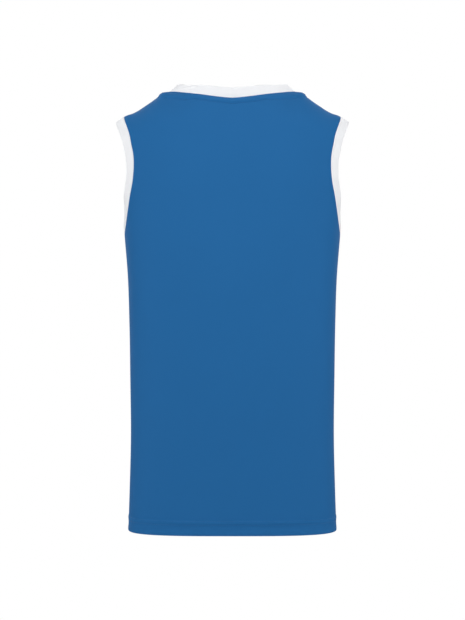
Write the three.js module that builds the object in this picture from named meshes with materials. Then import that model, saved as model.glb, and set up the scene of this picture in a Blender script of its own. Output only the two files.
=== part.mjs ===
// A sleeveless basketball jersey, filled out as it is when it is worn: a back panel and a front panel
// with the hem turned up on them, a white rib band round the neck and one round each armhole.
// Millimetres, +Z up. The front faces -Y and the wearer's left is +X. The origin lies midway between
// the two points where the shoulder seams meet the neck, where the wearer's shoulders carry the jersey.

import * as THREE from 'three';

// Lengths and levels of the cut.
const BODY_LENGTH = 760;
const UNDERARM_LEVEL = -255;
const NECK_HALF_WIDTH = 110;
const BACK_NECK_DROP = 18;
const FRONT_NECK_DROP = 115;
const BACK_NECK_CURVE = 1.38;
const FRONT_NECK_SQUARENESS = 2.3;

// Cloth walls, seams and trim.
const WALL = 1.6;
const SEAM_GAP = 0.3;
const HEM_DEPTH = 25;
const HEM_EXTRA_INSIDE = 0.7;
const HEM_EXTRA_OUTSIDE = 0.4;
const HEM_STEP_LENGTH = 2;
const HEM_ROWS = 2;
const BAND_WIDTH = { neck: 18.5, armhole: 17.5 };
const BAND_THICKNESS = 2.2;
const BAND_PROUD = 0.3;
const BAND_STRAIGHT_START = 1.5;

// How far a band turns out (+) or in (-) from the cloth that it continues, in degrees: the neck band
// behind by the distance from the middle, in front at its lowest point, and the armhole bands by level.
const NECK_BAND_TURNS = [
  { x: 0, turn: 27 },
  { x: 30, turn: 22 },
  { x: 60, turn: 17 },
  { x: 85, turn: 7 },
  { x: 110, turn: 20 },
];
const NECK_BAND_FRONT_TURN = 3;
const ARMHOLE_BAND_TURNS = [
  { z: -44, turn: -10 },
  { z: -65, turn: -3 },
  { z: -95, turn: 4 },
  { z: -130, turn: 2 },
  { z: -165, turn: 2 },
  { z: -195, turn: 4 },
  { z: -217, turn: -4 },
  { z: -235, turn: -4 },
  { z: -255, turn: 2 },
];

// The seam allowance lies under the cloth round the neck and lifts it in a low soft ridge.
const NECK_RIDGE = { widthAtCentre: 10, widthAtShoulder: 21, heightAtCentre: 1, heightAtShoulder: 2.2 };

// The ridge's curve, share ** 2 * (1 - share), reaches 4 / 27 at its highest. The wall's inside follows
// it part of the way, and the rest is the allowance's own thickness.
const RIDGE_SCALE = 27 / 4;
const RIDGE_INSIDE_SHARE = 0.6;

// Height over which the cloth rounds over from the shoulder seam to the upright chest and back, at the
// neck and at the shoulder's tip.
const SHOULDER_ROUNDING = { neck: 70, tip: 55 };
const SHOULDER_TIP = { across: 188.4, level: -43.3 };

// Level sections of the body. half is half the width between the side seams, back and chest are how far
// the cloth stands out behind and before those seams, and square is the section's superellipse power.
const SECTIONS = [
  { z: 20, half: 212, back: 46, chest: 48, square: 2.25 },
  { z: 0, half: 210.5, back: 58.5, chest: 60, square: 2.25 },
  { z: -30, half: 208, back: 79, chest: 80, square: 2.3 },
  { z: -60, half: 205.5, back: 96, chest: 95, square: 2.35 },
  { z: -100, half: 201.5, back: 112, chest: 108.5, square: 2.45 },
  { z: -150, half: 197, back: 124, chest: 120, square: 2.6 },
  { z: -200, half: 191.5, back: 129, chest: 127, square: 2.7 },
  { z: -255, half: 187, back: 130.5, chest: 128, square: 2.8 },
  { z: -320, half: 181.8, back: 128.5, chest: 125, square: 2.8 },
  { z: -400, half: 179, back: 123.5, chest: 119, square: 2.85 },
  { z: -500, half: 177.4, back: 118.5, chest: 114, square: 2.9 },
  { z: -600, half: 176.3, back: 118, chest: 113.5, square: 3 },
  { z: -690, half: 178.2, back: 121, chest: 115.5, square: 3.2 },
  { z: -760, half: 180.3, back: 124.5, chest: 118, square: 3.35 },
];

// The shoulder seam seen from behind. Rows inside the neck's half width only lead the curve in.
const SHOULDER_LINE = [
  { x: 0, z: 95 },
  { x: 50, z: 50 },
  { x: 70, z: 27 },
  { x: 90, z: 11 },
  { x: 100, z: 5 },
  { x: 110, z: 0 },
  { x: 118, z: -2.4 },
  { x: 124, z: -5.1 },
  { x: 128, z: -7.9 },
  { x: 140, z: -17.1 },
  { x: 152, z: -25.2 },
  { x: 164, z: -33.2 },
  { x: 176, z: -38.9 },
  { x: 181.5, z: -40.4 },
  { x: SHOULDER_TIP.across, z: SHOULDER_TIP.level },
  { x: 212, z: -54 },
];

// The armhole seen from the side is an upright oval. back and front are its half breadth at each level.
const ARMHOLE = [
  { z: -43, back: 59, front: 60 },
  { z: -50, back: 64.5, front: 65.5 },
  { z: -63, back: 73.2, front: 75.5 },
  { z: -83, back: 79.6, front: 84.5 },
  { z: -100, back: 79.4, front: 86.5 },
  { z: -120, back: 80.3, front: 88 },
  { z: -160, back: 80.9, front: 88.5 },
  { z: -198, back: 78.7, front: 86.5 },
  { z: -226, back: 83.3, front: 89 },
  { z: -244, back: 92.5, front: 95 },
  { z: -256, back: 98, front: 99 },
];

// How finely the cloth is divided: across half a panel, up it, and along the test curves.
const NECK_COLUMNS = 12;
const NECK_CROWDING = 0.5;
const SHOULDER_COLUMNS = 6;
const ARMHOLE_ROWS = 20;
const SIDE_ROWS = 10;
const FOLD_FACES = 4;
const UNDERARM_ROW_DIP = 28;
const UNDERARM_ROW_POWER = 6;
const EDGE_ROW_POWER = 3;
const CURVE_SAMPLES = 240;

// Halvings that find where the armhole's edge lies, steps for measuring the cloth's slopes, and how
// near to a seam counts as on it.
const HALVINGS = 40;
const SLOPE_STEP = 0.01;
const ANGLE_STEP = 0.0001;
const ON_SEAM = 0.001;

const CLOTH_LOOK = { color: 0x26629a, roughness: 0.75, metalness: 0 };
const RIB_LOOK = { color: 0xefeff2, roughness: 0.85, metalness: 0 };

const BACK = { sign: 1, depth: 'back', armhole: 'back' };
const FRONT = { sign: -1, depth: 'chest', armhole: 'front' };
const HALF_COLUMNS = NECK_COLUMNS + SHOULDER_COLUMNS;

const lerp = THREE.MathUtils.lerp;
const radians = THREE.MathUtils.degToRad;

// A smooth curve through one column of a table, whose end values hold beyond its ends.
function through(rows, key, column) {
  const sorted = [...rows].sort((p, q) => p[key] - q[key]);
  const knots = sorted.map((row) => ({ at: row[key], value: row[column] }));
  const slopes = knots.slice(1).map((knot, i) => (knot.value - knots[i].value) / (knot.at - knots[i].at));
  const tangents = knots.map((knot, i) => {
    if (i === 0) return slopes[0];
    if (i === knots.length - 1) return slopes[i - 1];
    const before = knot.at - knots[i - 1].at;
    const after = knots[i + 1].at - knot.at;
    return (slopes[i - 1] * after + slopes[i] * before) / (before + after);
  });
  return (value) => {
    const t = THREE.MathUtils.clamp(value, knots[0].at, knots[knots.length - 1].at);
    let i = 0;
    while (i < knots.length - 2 && t > knots[i + 1].at) i += 1;
    const span = knots[i + 1].at - knots[i].at;
    const s = (t - knots[i].at) / span;
    const rise = s * s * (3 - 2 * s);
    const ends = s * (1 - s) * span * (tangents[i] * (1 - s) - tangents[i + 1] * s);
    return knots[i].value * (1 - rise) + knots[i + 1].value * rise + ends;
  };
}

const halfWidth = through(SECTIONS, 'z', 'half');
const squareness = through(SECTIONS, 'z', 'square');
const depthOf = { back: through(SECTIONS, 'z', 'back'), chest: through(SECTIONS, 'z', 'chest') };
const armholeBreadth = { back: through(ARMHOLE, 'z', 'back'), front: through(ARMHOLE, 'z', 'front') };
const shoulderLine = through(SHOULDER_LINE, 'x', 'z');
const neckBandTurn = through(NECK_BAND_TURNS, 'x', 'turn');
const armholeBandTurn = through(ARMHOLE_BAND_TURNS, 'z', 'turn');

// How far the level section stands out from the side seams at x, before the shoulder rounds it over.
function sectionDepth(side, x, z) {
  const power = squareness(z);
  const left = Math.max(0, 1 - Math.abs(x / halfWidth(z)) ** power);
  return depthOf[side.depth](z) * left ** (1 / power);
}

// The share of that depth that is left close under the shoulder seam: a quarter round.
function shoulderShare(x, z) {
  const beyondNeck = (Math.abs(x) - NECK_HALF_WIDTH) / (SHOULDER_TIP.across - NECK_HALF_WIDTH);
  const toTip = THREE.MathUtils.clamp(beyondNeck, 0, 1);
  const rounding = lerp(SHOULDER_ROUNDING.neck, SHOULDER_ROUNDING.tip, toTip);
  const fall = THREE.MathUtils.clamp((shoulderLine(Math.abs(x)) - z) / rounding, 0, 1);
  return Math.sqrt(1 - (1 - fall) ** 2);
}

// A place on the cloth is kept as the angle round the level section, from 0 at the middle of the panel
// to a right angle at the side seam, and its level.
function placeOf(side, x, z) {
  return { angle: Math.atan2(x, sectionDepth(side, x, z)), z };
}

function pointAt(side, place) {
  const power = squareness(place.z);
  const across = Math.max(0, Math.sin(place.angle));
  const out = Math.max(0, Math.cos(place.angle));
  const depth = depthOf[side.depth](place.z);
  const reach = ((across / halfWidth(place.z)) ** power + (out / depth) ** power) ** (-1 / power);
  const x = reach * across;
  const y = reach * out * shoulderShare(x, place.z);
  return new THREE.Vector3(x, side.sign * (y + SEAM_GAP / 2), place.z);
}

// The slope of a curve at a value.
function slopeOf(curve, value) {
  return (curve(value + SLOPE_STEP) - curve(value - SLOPE_STEP)) / (2 * SLOPE_STEP);
}

// The direction straight out of the cloth. On a seam it lies in the seam's own plane, so that both
// panels end square to it.
function outwardAt(side, place) {
  const point = pointAt(side, place);
  if (shoulderShare(point.x, place.z) < ON_SEAM) {
    return new THREE.Vector3(-slopeOf(shoulderLine, point.x), 0, 1).normalize();
  }
  if (Math.cos(place.angle) < ON_SEAM) {
    return new THREE.Vector3(1, 0, -slopeOf(halfWidth, place.z)).normalize();
  }
  const turn = place.angle < Math.PI / 4 ? ANGLE_STEP : -ANGLE_STEP;
  const around = pointAt(side, { angle: place.angle + turn, z: place.z }).sub(point).divideScalar(turn);
  const upward = point.clone().sub(pointAt(side, { angle: place.angle, z: place.z - SLOPE_STEP }));
  return around.cross(upward).multiplyScalar(-side.sign).normalize();
}

// Where the armhole's edge crosses the cloth at a level: its depth is the oval's, and x follows from it.
function armholeEdge(side, share) {
  const turn = Math.PI * share;
  const middle = (UNDERARM_LEVEL + SHOULDER_TIP.level) / 2;
  const z = middle - (SHOULDER_TIP.level - middle) * Math.cos(turn);
  const depth = armholeBreadth[side.armhole](z) * Math.sin(turn);
  let inner = NECK_HALF_WIDTH;
  let outer = halfWidth(z);
  for (let step = 0; step < HALVINGS; step += 1) {
    const x = (inner + outer) / 2;
    if (sectionDepth(side, x, z) * shoulderShare(x, z) > depth) inner = x;
    else outer = x;
  }
  return placeOf(side, inner, z);
}

function necklineAt(side, share) {
  if (side === BACK) {
    const x = NECK_HALF_WIDTH * share;
    return placeOf(side, x, -BACK_NECK_DROP * (1 - share ** BACK_NECK_CURVE));
  }
  const turn = (share * Math.PI) / 2;
  const x = NECK_HALF_WIDTH * Math.sin(turn) ** (2 / FRONT_NECK_SQUARENESS);
  return placeOf(side, x, -FRONT_NECK_DROP * Math.max(0, Math.cos(turn)) ** (2 / FRONT_NECK_SQUARENESS));
}

function shoulderAt(side, share) {
  const tip = armholeEdge(side, 1);
  const x = lerp(NECK_HALF_WIDTH, pointAt(side, tip).x, share);
  return placeOf(side, x, shoulderLine(x));
}

// Places along a curve, equally far apart as the cloth lies, or closer together towards its end.
function evenly(side, curve, count, crowding = 0) {
  const samples = [];
  for (let i = 0; i <= CURVE_SAMPLES; i += 1) samples.push(curve(side, i / CURVE_SAMPLES));
  const points = samples.map((place) => pointAt(side, place));
  const lengths = [0];
  for (let i = 1; i < points.length; i += 1) {
    lengths.push(lengths[i - 1] + points[i].distanceTo(points[i - 1]));
  }
  const places = [];
  let at = 1;
  for (let i = 0; i <= count; i += 1) {
    const share = i / count;
    const crowded = lerp(share, Math.sin((share * Math.PI) / 2), crowding);
    const goal = lengths[lengths.length - 1] * crowded;
    while (at < lengths.length - 1 && lengths[at] < goal) at += 1;
    const part = (goal - lengths[at - 1]) / (lengths[at] - lengths[at - 1]);
    places.push({
      angle: lerp(samples[at - 1].angle, samples[at].angle, part),
      z: lerp(samples[at - 1].z, samples[at].z, part),
    });
  }
  return places;
}

// The row that ends at the underarms. It hangs lower across the panel, which opens the corner there.
function underarmRowLevel(across) {
  return UNDERARM_LEVEL - UNDERARM_ROW_DIP * (1 - across ** UNDERARM_ROW_POWER);
}

// Levels of a column's rows from the hem's edge up to that row, with the hem's step between two of them.
function lowerLevels(across) {
  const hemTop = -BODY_LENGTH + HEM_DEPTH;
  const levels = [-BODY_LENGTH, hemTop - HEM_STEP_LENGTH / 2];
  for (let i = 0; i < SIDE_ROWS; i += 1) {
    levels.push(lerp(hemTop + HEM_STEP_LENGTH / 2, underarmRowLevel(across), i / (SIDE_ROWS - 1)));
  }
  return levels;
}

// Half a panel's places, row by row from the hem up, with the column at the panel's middle first. Over
// the underarm the rows are spread between that row, the panel's top and the armhole's edge.
function panelPlaces(side) {
  const columns = Array.from({ length: HALF_COLUMNS + 1 }, (_, column) => column / HALF_COLUMNS);
  const baseAngle = (across) => (Math.PI / 2) * across;
  const lower = columns.map(lowerLevels);
  const rows = lower[0].map((_, r) => columns.map(
    (across, c) => ({ angle: baseAngle(across), z: lower[c][r] }),
  ));
  const neckline = evenly(side, necklineAt, NECK_COLUMNS, NECK_CROWDING);
  const top = [...neckline, ...evenly(side, shoulderAt, SHOULDER_COLUMNS).slice(1)];
  const tip = top[HALF_COLUMNS];
  for (let k = 1; k <= ARMHOLE_ROWS; k += 1) {
    const share = k / ARMHOLE_ROWS;
    const riseAtEdge = (1 - Math.cos(Math.PI * share)) / 2;
    const riseAtMiddle = Math.sin((Math.PI * share) / 2);
    const edge = armholeEdge(side, share);
    const bulge = {
      angle: edge.angle - lerp(Math.PI / 2, tip.angle, riseAtEdge),
      z: edge.z - lerp(UNDERARM_LEVEL, tip.z, riseAtEdge),
    };
    rows.push(columns.map((across, c) => {
      const rise = lerp(riseAtMiddle, riseAtEdge, across ** EDGE_ROW_POWER);
      return {
        angle: lerp(baseAngle(across), top[c].angle, rise) + across * bulge.angle,
        z: lerp(underarmRowLevel(across), top[c].z, rise) + across * bulge.z,
      };
    }));
  }
  return rows;
}

// A row of half a panel with its mirror image put before it, from the wearer's right side to the left.
function bothSides(half) {
  const mirrored = half.slice(1).map((vector) => new THREE.Vector3(-vector.x, vector.y, vector.z));
  return [...mirrored.reverse(), ...half];
}

function distanceToLine(point, line) {
  const segment = new THREE.Line3();
  const nearest = new THREE.Vector3();
  let least = Infinity;
  for (let i = 1; i < line.length; i += 1) {
    segment.set(line[i - 1], line[i]).closestPointToPoint(point, true, nearest);
    least = Math.min(least, nearest.distanceTo(point));
  }
  return least;
}

// How far the seam allowance lifts the cloth: slowly away from the neck seam, then quickly down to the
// row of stitches that holds it.
function neckRidgeAt(point, neckline) {
  const toShoulder = THREE.MathUtils.smoothstep(Math.abs(point.x), NECK_HALF_WIDTH / 2, NECK_HALF_WIDTH);
  const width = lerp(NECK_RIDGE.widthAtCentre, NECK_RIDGE.widthAtShoulder, toShoulder);
  const height = lerp(NECK_RIDGE.heightAtCentre, NECK_RIDGE.heightAtShoulder, toShoulder);
  const share = Math.min(1, distanceToLine(point, neckline) / width);
  return height * RIDGE_SCALE * share ** 2 * (1 - share);
}

// The whole panel: rows from the hem up, each from the wearer's right side to the left.
function layOut(side) {
  const rows = panelPlaces(side);
  const grid = rows.map((places) => bothSides(places.map((place) => pointAt(side, place))));
  const normals = rows.map((places) => bothSides(places.map((place) => outwardAt(side, place))));
  const neckline = grid[grid.length - 1].slice(SHOULDER_COLUMNS, SHOULDER_COLUMNS + 2 * NECK_COLUMNS + 1);
  const moved = (outBy) => grid.map((row, r) => row.map(
    (point, c) => point.clone().addScaledVector(normals[r][c], outBy(point, r < HEM_ROWS)),
  ));
  const outer = moved((point, inHem) => (inHem ? HEM_EXTRA_OUTSIDE : neckRidgeAt(point, neckline)));
  const inner = moved((point, inHem) => (
    inHem ? -WALL - HEM_EXTRA_INSIDE : RIDGE_INSIDE_SHARE * neckRidgeAt(point, neckline) - WALL
  ));
  return { side, grid, normals, outer, inner };
}

// Four corners as two triangles, split from the first corner to the third.
function fan([a, b, c, d]) {
  return [a, b, c, a, c, d];
}

function meshFrom(name, points, triangles, look) {
  const geometry = new THREE.BufferGeometry();
  const numbers = points.flatMap((point) => point.toArray());
  geometry.setAttribute('position', new THREE.Float32BufferAttribute(numbers, 3));
  geometry.setIndex(triangles);
  geometry.computeVertexNormals();
  const mesh = new THREE.Mesh(geometry, new THREE.MeshStandardMaterial(look));
  mesh.name = name;
  return mesh;
}

// A panel as a closed wall: its outer points, its inner points and a rim that joins them.
function panelMesh(name, cloth) {
  const rows = cloth.outer.length;
  const columns = cloth.outer[0].length;
  const points = [...cloth.outer.flat(), ...cloth.inner.flat()];
  const inside = rows * columns;
  const triangles = [];
  const quad = (...corners) => {
    if (cloth.side === FRONT) triangles.push(...fan(corners));
    else triangles.push(...fan(corners).reverse());
  };
  for (let r = 0; r + 1 < rows; r += 1) {
    for (let c = 0; c + 1 < columns; c += 1) {
      const a = r * columns + c;
      const corners = [a, a + 1, a + 1 + columns, a + columns];
      quad(...corners);
      quad(...corners.map((i) => i + inside).reverse());
    }
  }
  const rim = [];
  for (let c = 0; c < columns; c += 1) rim.push(c);
  for (let r = 1; r < rows; r += 1) rim.push(r * columns + columns - 1);
  for (let c = columns - 2; c >= 0; c -= 1) rim.push((rows - 1) * columns + c);
  for (let r = rows - 2; r > 0; r -= 1) rim.push(r * columns);
  rim.forEach((a, i) => {
    const b = rim[(i + 1) % rim.length];
    quad(a, a + inside, b + inside, b);
  });
  return meshFrom(name, points, triangles, CLOTH_LOOK);
}

// An edge of a panel as places for a band: the cloth's point there and its outward direction.
function edgePlaces(cloth, cells) {
  return cells.map(([r, c]) => ({ point: cloth.grid[r][c].clone(), normal: cloth.normals[r][c].clone() }));
}

function neckCells(cloth) {
  const row = cloth.grid.length - 1;
  const cells = [];
  for (let c = HALF_COLUMNS - NECK_COLUMNS; c <= HALF_COLUMNS + NECK_COLUMNS; c += 1) cells.push([row, c]);
  return cells;
}

function armholeCells(cloth, column) {
  const cells = [];
  for (let r = cloth.grid.length - 1 - ARMHOLE_ROWS; r < cloth.grid.length; r += 1) cells.push([r, column]);
  return cells;
}

// One edge of the back and one of the front joined into a ring, with a single place at each seam.
function ringOf(behind, before) {
  const ends = [behind.length - 1, 0].map((i) => {
    const j = i === 0 ? 0 : before.length - 1;
    const point = behind[i].point.clone().setY(0);
    const normal = behind[i].normal.clone().add(before[j].normal).normalize();
    return { point, normal };
  });
  return [ends[1], ...behind.slice(1, -1), ends[0], ...before.slice(1, -1).reverse()];
}

// The band's section: along is the distance from the panel's edge, out the height over the cloth's face.
function bandSection(width) {
  const radius = BAND_THICKNESS / 2;
  const middle = BAND_PROUD - radius;
  const section = [
    { along: SEAM_GAP, out: BAND_PROUD },
    { along: width / 2, out: BAND_PROUD },
  ];
  for (let i = 0; i <= FOLD_FACES; i += 1) {
    const turn = (Math.PI * i) / FOLD_FACES;
    const along = width - radius + radius * Math.sin(turn);
    section.push({ along, out: middle + radius * Math.cos(turn) });
  }
  section.push({ along: width / 2, out: BAND_PROUD - BAND_THICKNESS });
  section.push({ along: SEAM_GAP, out: BAND_PROUD - BAND_THICKNESS });
  return section;
}

// A folded rib band that goes on from the cloth's edge all round, turned out from it by turnAt. Its end
// face is split into triangles as the panel's rim is, so that the gap between them is the same all along.
function bandMesh(name, ring, width, turnAt, clockwise) {
  const section = bandSection(width);
  const points = [];
  ring.forEach(({ point, normal }, i) => {
    const next = ring[(i + 1) % ring.length].point;
    const previous = ring[(i + ring.length - 1) % ring.length].point;
    const tangent = new THREE.Vector3().subVectors(next, previous).normalize();
    const onward = tangent.clone().cross(normal).multiplyScalar(clockwise ? 1 : -1).normalize();
    const out = onward.clone().cross(tangent).multiplyScalar(clockwise ? 1 : -1).normalize();
    const turn = radians(turnAt(point));
    const direction = onward.clone().multiplyScalar(Math.cos(turn)).addScaledVector(out, Math.sin(turn));
    const face = out.clone().multiplyScalar(Math.cos(turn)).addScaledVector(onward, -Math.sin(turn));
    section.forEach((corner) => {
      const spot = point.clone();
      if (corner.along <= BAND_STRAIGHT_START) {
        spot.addScaledVector(onward, corner.along).addScaledVector(out, corner.out);
      } else {
        spot.addScaledVector(onward, BAND_STRAIGHT_START);
        spot.addScaledVector(direction, corner.along - BAND_STRAIGHT_START);
        spot.addScaledVector(face, corner.out);
      }
      points.push(spot);
    });
  });
  const sides = section.length;
  const triangles = [];
  for (let i = 0; i < ring.length; i += 1) {
    for (let k = 0; k < sides; k += 1) {
      const a = i * sides + k;
      const b = i * sides + ((k + 1) % sides);
      const c = ((i + 1) % ring.length) * sides + ((k + 1) % sides);
      const d = ((i + 1) % ring.length) * sides + k;
      const alongRim = k === sides - 1 && (i < ring.length / 2) !== clockwise;
      const corners = alongRim ? [b, c, d, a] : [a, b, c, d];
      if (clockwise) triangles.push(...fan(corners));
      else triangles.push(...fan(corners).reverse());
    }
  }
  return meshFrom(name, points, triangles, RIB_LOOK);
}

function neckTurn(point) {
  if (point.y >= 0) return neckBandTurn(Math.abs(point.x));
  const low = THREE.MathUtils.clamp(-point.z / FRONT_NECK_DROP, 0, 1);
  return lerp(neckBandTurn(NECK_HALF_WIDTH), NECK_BAND_FRONT_TURN, low);
}

function armholeTurn(point) {
  return armholeBandTurn(point.z);
}

const back = layOut(BACK);
const front = layOut(FRONT);
const neckRing = ringOf(edgePlaces(back, neckCells(back)), edgePlaces(front, neckCells(front)));
const sideRings = [2 * HALF_COLUMNS, 0].map((column) => ringOf(
  edgePlaces(back, armholeCells(back, column)),
  edgePlaces(front, armholeCells(front, column)),
));

const jersey = new THREE.Group();
jersey.add(
  panelMesh('back', back),
  panelMesh('front', front),
  bandMesh('neck_band', neckRing, BAND_WIDTH.neck, neckTurn, true),
  bandMesh('armhole_band_left', sideRings[0], BAND_WIDTH.armhole, armholeTurn, false),
  bandMesh('armhole_band_right', sideRings[1], BAND_WIDTH.armhole, armholeTurn, true),
);

export default jersey;
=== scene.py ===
"""The looks of a sleeveless basketball jersey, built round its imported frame.

Metres, +Z up. The front faces -Y, the wearer's left is +X, and the origin lies midway between the two
points where the shoulder seams meet the neck.
"""

import logging
import math
from collections.abc import Callable
from dataclasses import dataclass
from enum import Enum

import bpy
import numpy as np
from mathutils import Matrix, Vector


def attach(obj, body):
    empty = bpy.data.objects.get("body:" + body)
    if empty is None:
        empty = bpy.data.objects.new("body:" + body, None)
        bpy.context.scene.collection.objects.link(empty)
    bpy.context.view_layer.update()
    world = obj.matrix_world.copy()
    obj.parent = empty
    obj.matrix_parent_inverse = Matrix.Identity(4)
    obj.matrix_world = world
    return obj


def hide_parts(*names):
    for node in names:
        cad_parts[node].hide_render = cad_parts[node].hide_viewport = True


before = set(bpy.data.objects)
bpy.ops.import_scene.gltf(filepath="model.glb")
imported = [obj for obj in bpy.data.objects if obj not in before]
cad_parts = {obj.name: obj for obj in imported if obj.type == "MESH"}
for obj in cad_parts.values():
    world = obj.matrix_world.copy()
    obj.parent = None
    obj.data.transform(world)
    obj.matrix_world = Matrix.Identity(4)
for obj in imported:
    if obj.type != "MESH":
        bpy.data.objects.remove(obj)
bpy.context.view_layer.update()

BODY = "root"
LOG = logging.getLogger("jersey")
Array = np.ndarray
Tint = tuple[float, float, float]
Place = tuple[float, float, float]
WHITE = (1.0, 1.0, 1.0, 1.0)


class Side(Enum):
    """The two panels, by the way that they face along Y."""

    BACK = 1
    FRONT = -1


class Hand(Enum):
    """The wearer's sides, by their sign along X."""

    LEFT = 1
    RIGHT = -1

    @property
    def flip(self) -> Array:
        """What the points of the wearer's left side are multiplied by to bring them to this one."""
        return np.array([float(self.value), 1.0, 1.0])


class Slot(Enum):
    """The record's material slots."""

    CLOTH = "cloth"
    RIB = "rib"
    THREAD = "thread"


def lerp(start: Array | float, end: Array | float, share: Array | float) -> Array | float:
    """Returns the value that lies at a share of the way from start to end."""
    return start + (end - start) * share


def smoothstep(value: Array | float, low: float, high: float) -> Array | float:
    """Returns 0 below low, 1 above high and a smooth rise between them."""
    share = np.clip((value - low) / (high - low), 0.0, 1.0)
    return share * share * (3 - 2 * share)


def crowded(count: int, crowding: float) -> Array:
    """Returns count + 1 shares from 0 to 1, even at crowding 0 and closer towards 1 above it."""
    even = np.linspace(0.0, 1.0, count + 1)
    return lerp(even, np.sin(even * math.pi / 2), crowding)


def unit(vectors: Array) -> Array:
    """Returns the vectors at length 1."""
    return vectors / np.linalg.norm(vectors, axis=-1, keepdims=True)


def lengths_along(line: Array) -> Array:
    """Returns how far along a line each of its points lies."""
    return np.concatenate([[0.0], np.cumsum(np.linalg.norm(np.diff(line, axis=0), axis=-1))])


def half_turn(faces: int) -> Array:
    """Returns the angles of the edges inside a rounded fold that has a number of faces."""
    return math.pi * np.arange(1, faces) / faces


class SmoothCurve:
    """A smooth curve through knots, whose end values hold beyond its ends."""

    def __init__(self, at: list[float], values: list[float]) -> None:
        """Works out the slopes at the knots.

        Args:
            at: where the knots lie, in any order.
            values: the curve's value at each knot.
        """
        order = np.argsort(at)
        self.at = np.array(at, float)[order]
        self.values = np.array(values, float)[order]
        spans = np.diff(self.at)
        slopes = np.diff(self.values) / spans
        inner = (slopes[:-1] * spans[1:] + slopes[1:] * spans[:-1]) / (spans[:-1] + spans[1:])
        self.tangents = np.concatenate([slopes[:1], inner, slopes[-1:]])

    def __call__(self, where: Array | float) -> Array:
        """Reads the curve.

        Args:
            where: the places to read it at.

        Returns:
            Its values there.
        """
        t = np.clip(where, self.at[0], self.at[-1])
        i = np.clip(np.searchsorted(self.at, t) - 1, 0, len(self.at) - 2)
        span = self.at[i + 1] - self.at[i]
        s = (t - self.at[i]) / span
        rise = s * s * (3 - 2 * s)
        ends = s * (1 - s) * span * (self.tangents[i] * (1 - s) - self.tangents[i + 1] * s)
        return self.values[i] * (1 - rise) + self.values[i + 1] * rise + ends


@dataclass(frozen=True)
class Section:
    """A level section of the body: half its width, its depths behind and before, its squareness."""

    z: float
    half: float
    back: float
    chest: float
    square: float


@dataclass(frozen=True)
class ShoulderKnot:
    """A point of the shoulder seam seen from behind."""

    x: float
    z: float


@dataclass(frozen=True)
class ArmholeKnot:
    """The armhole's half breadth behind and before the side seam, at a level."""

    z: float
    back: float
    front: float


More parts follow.
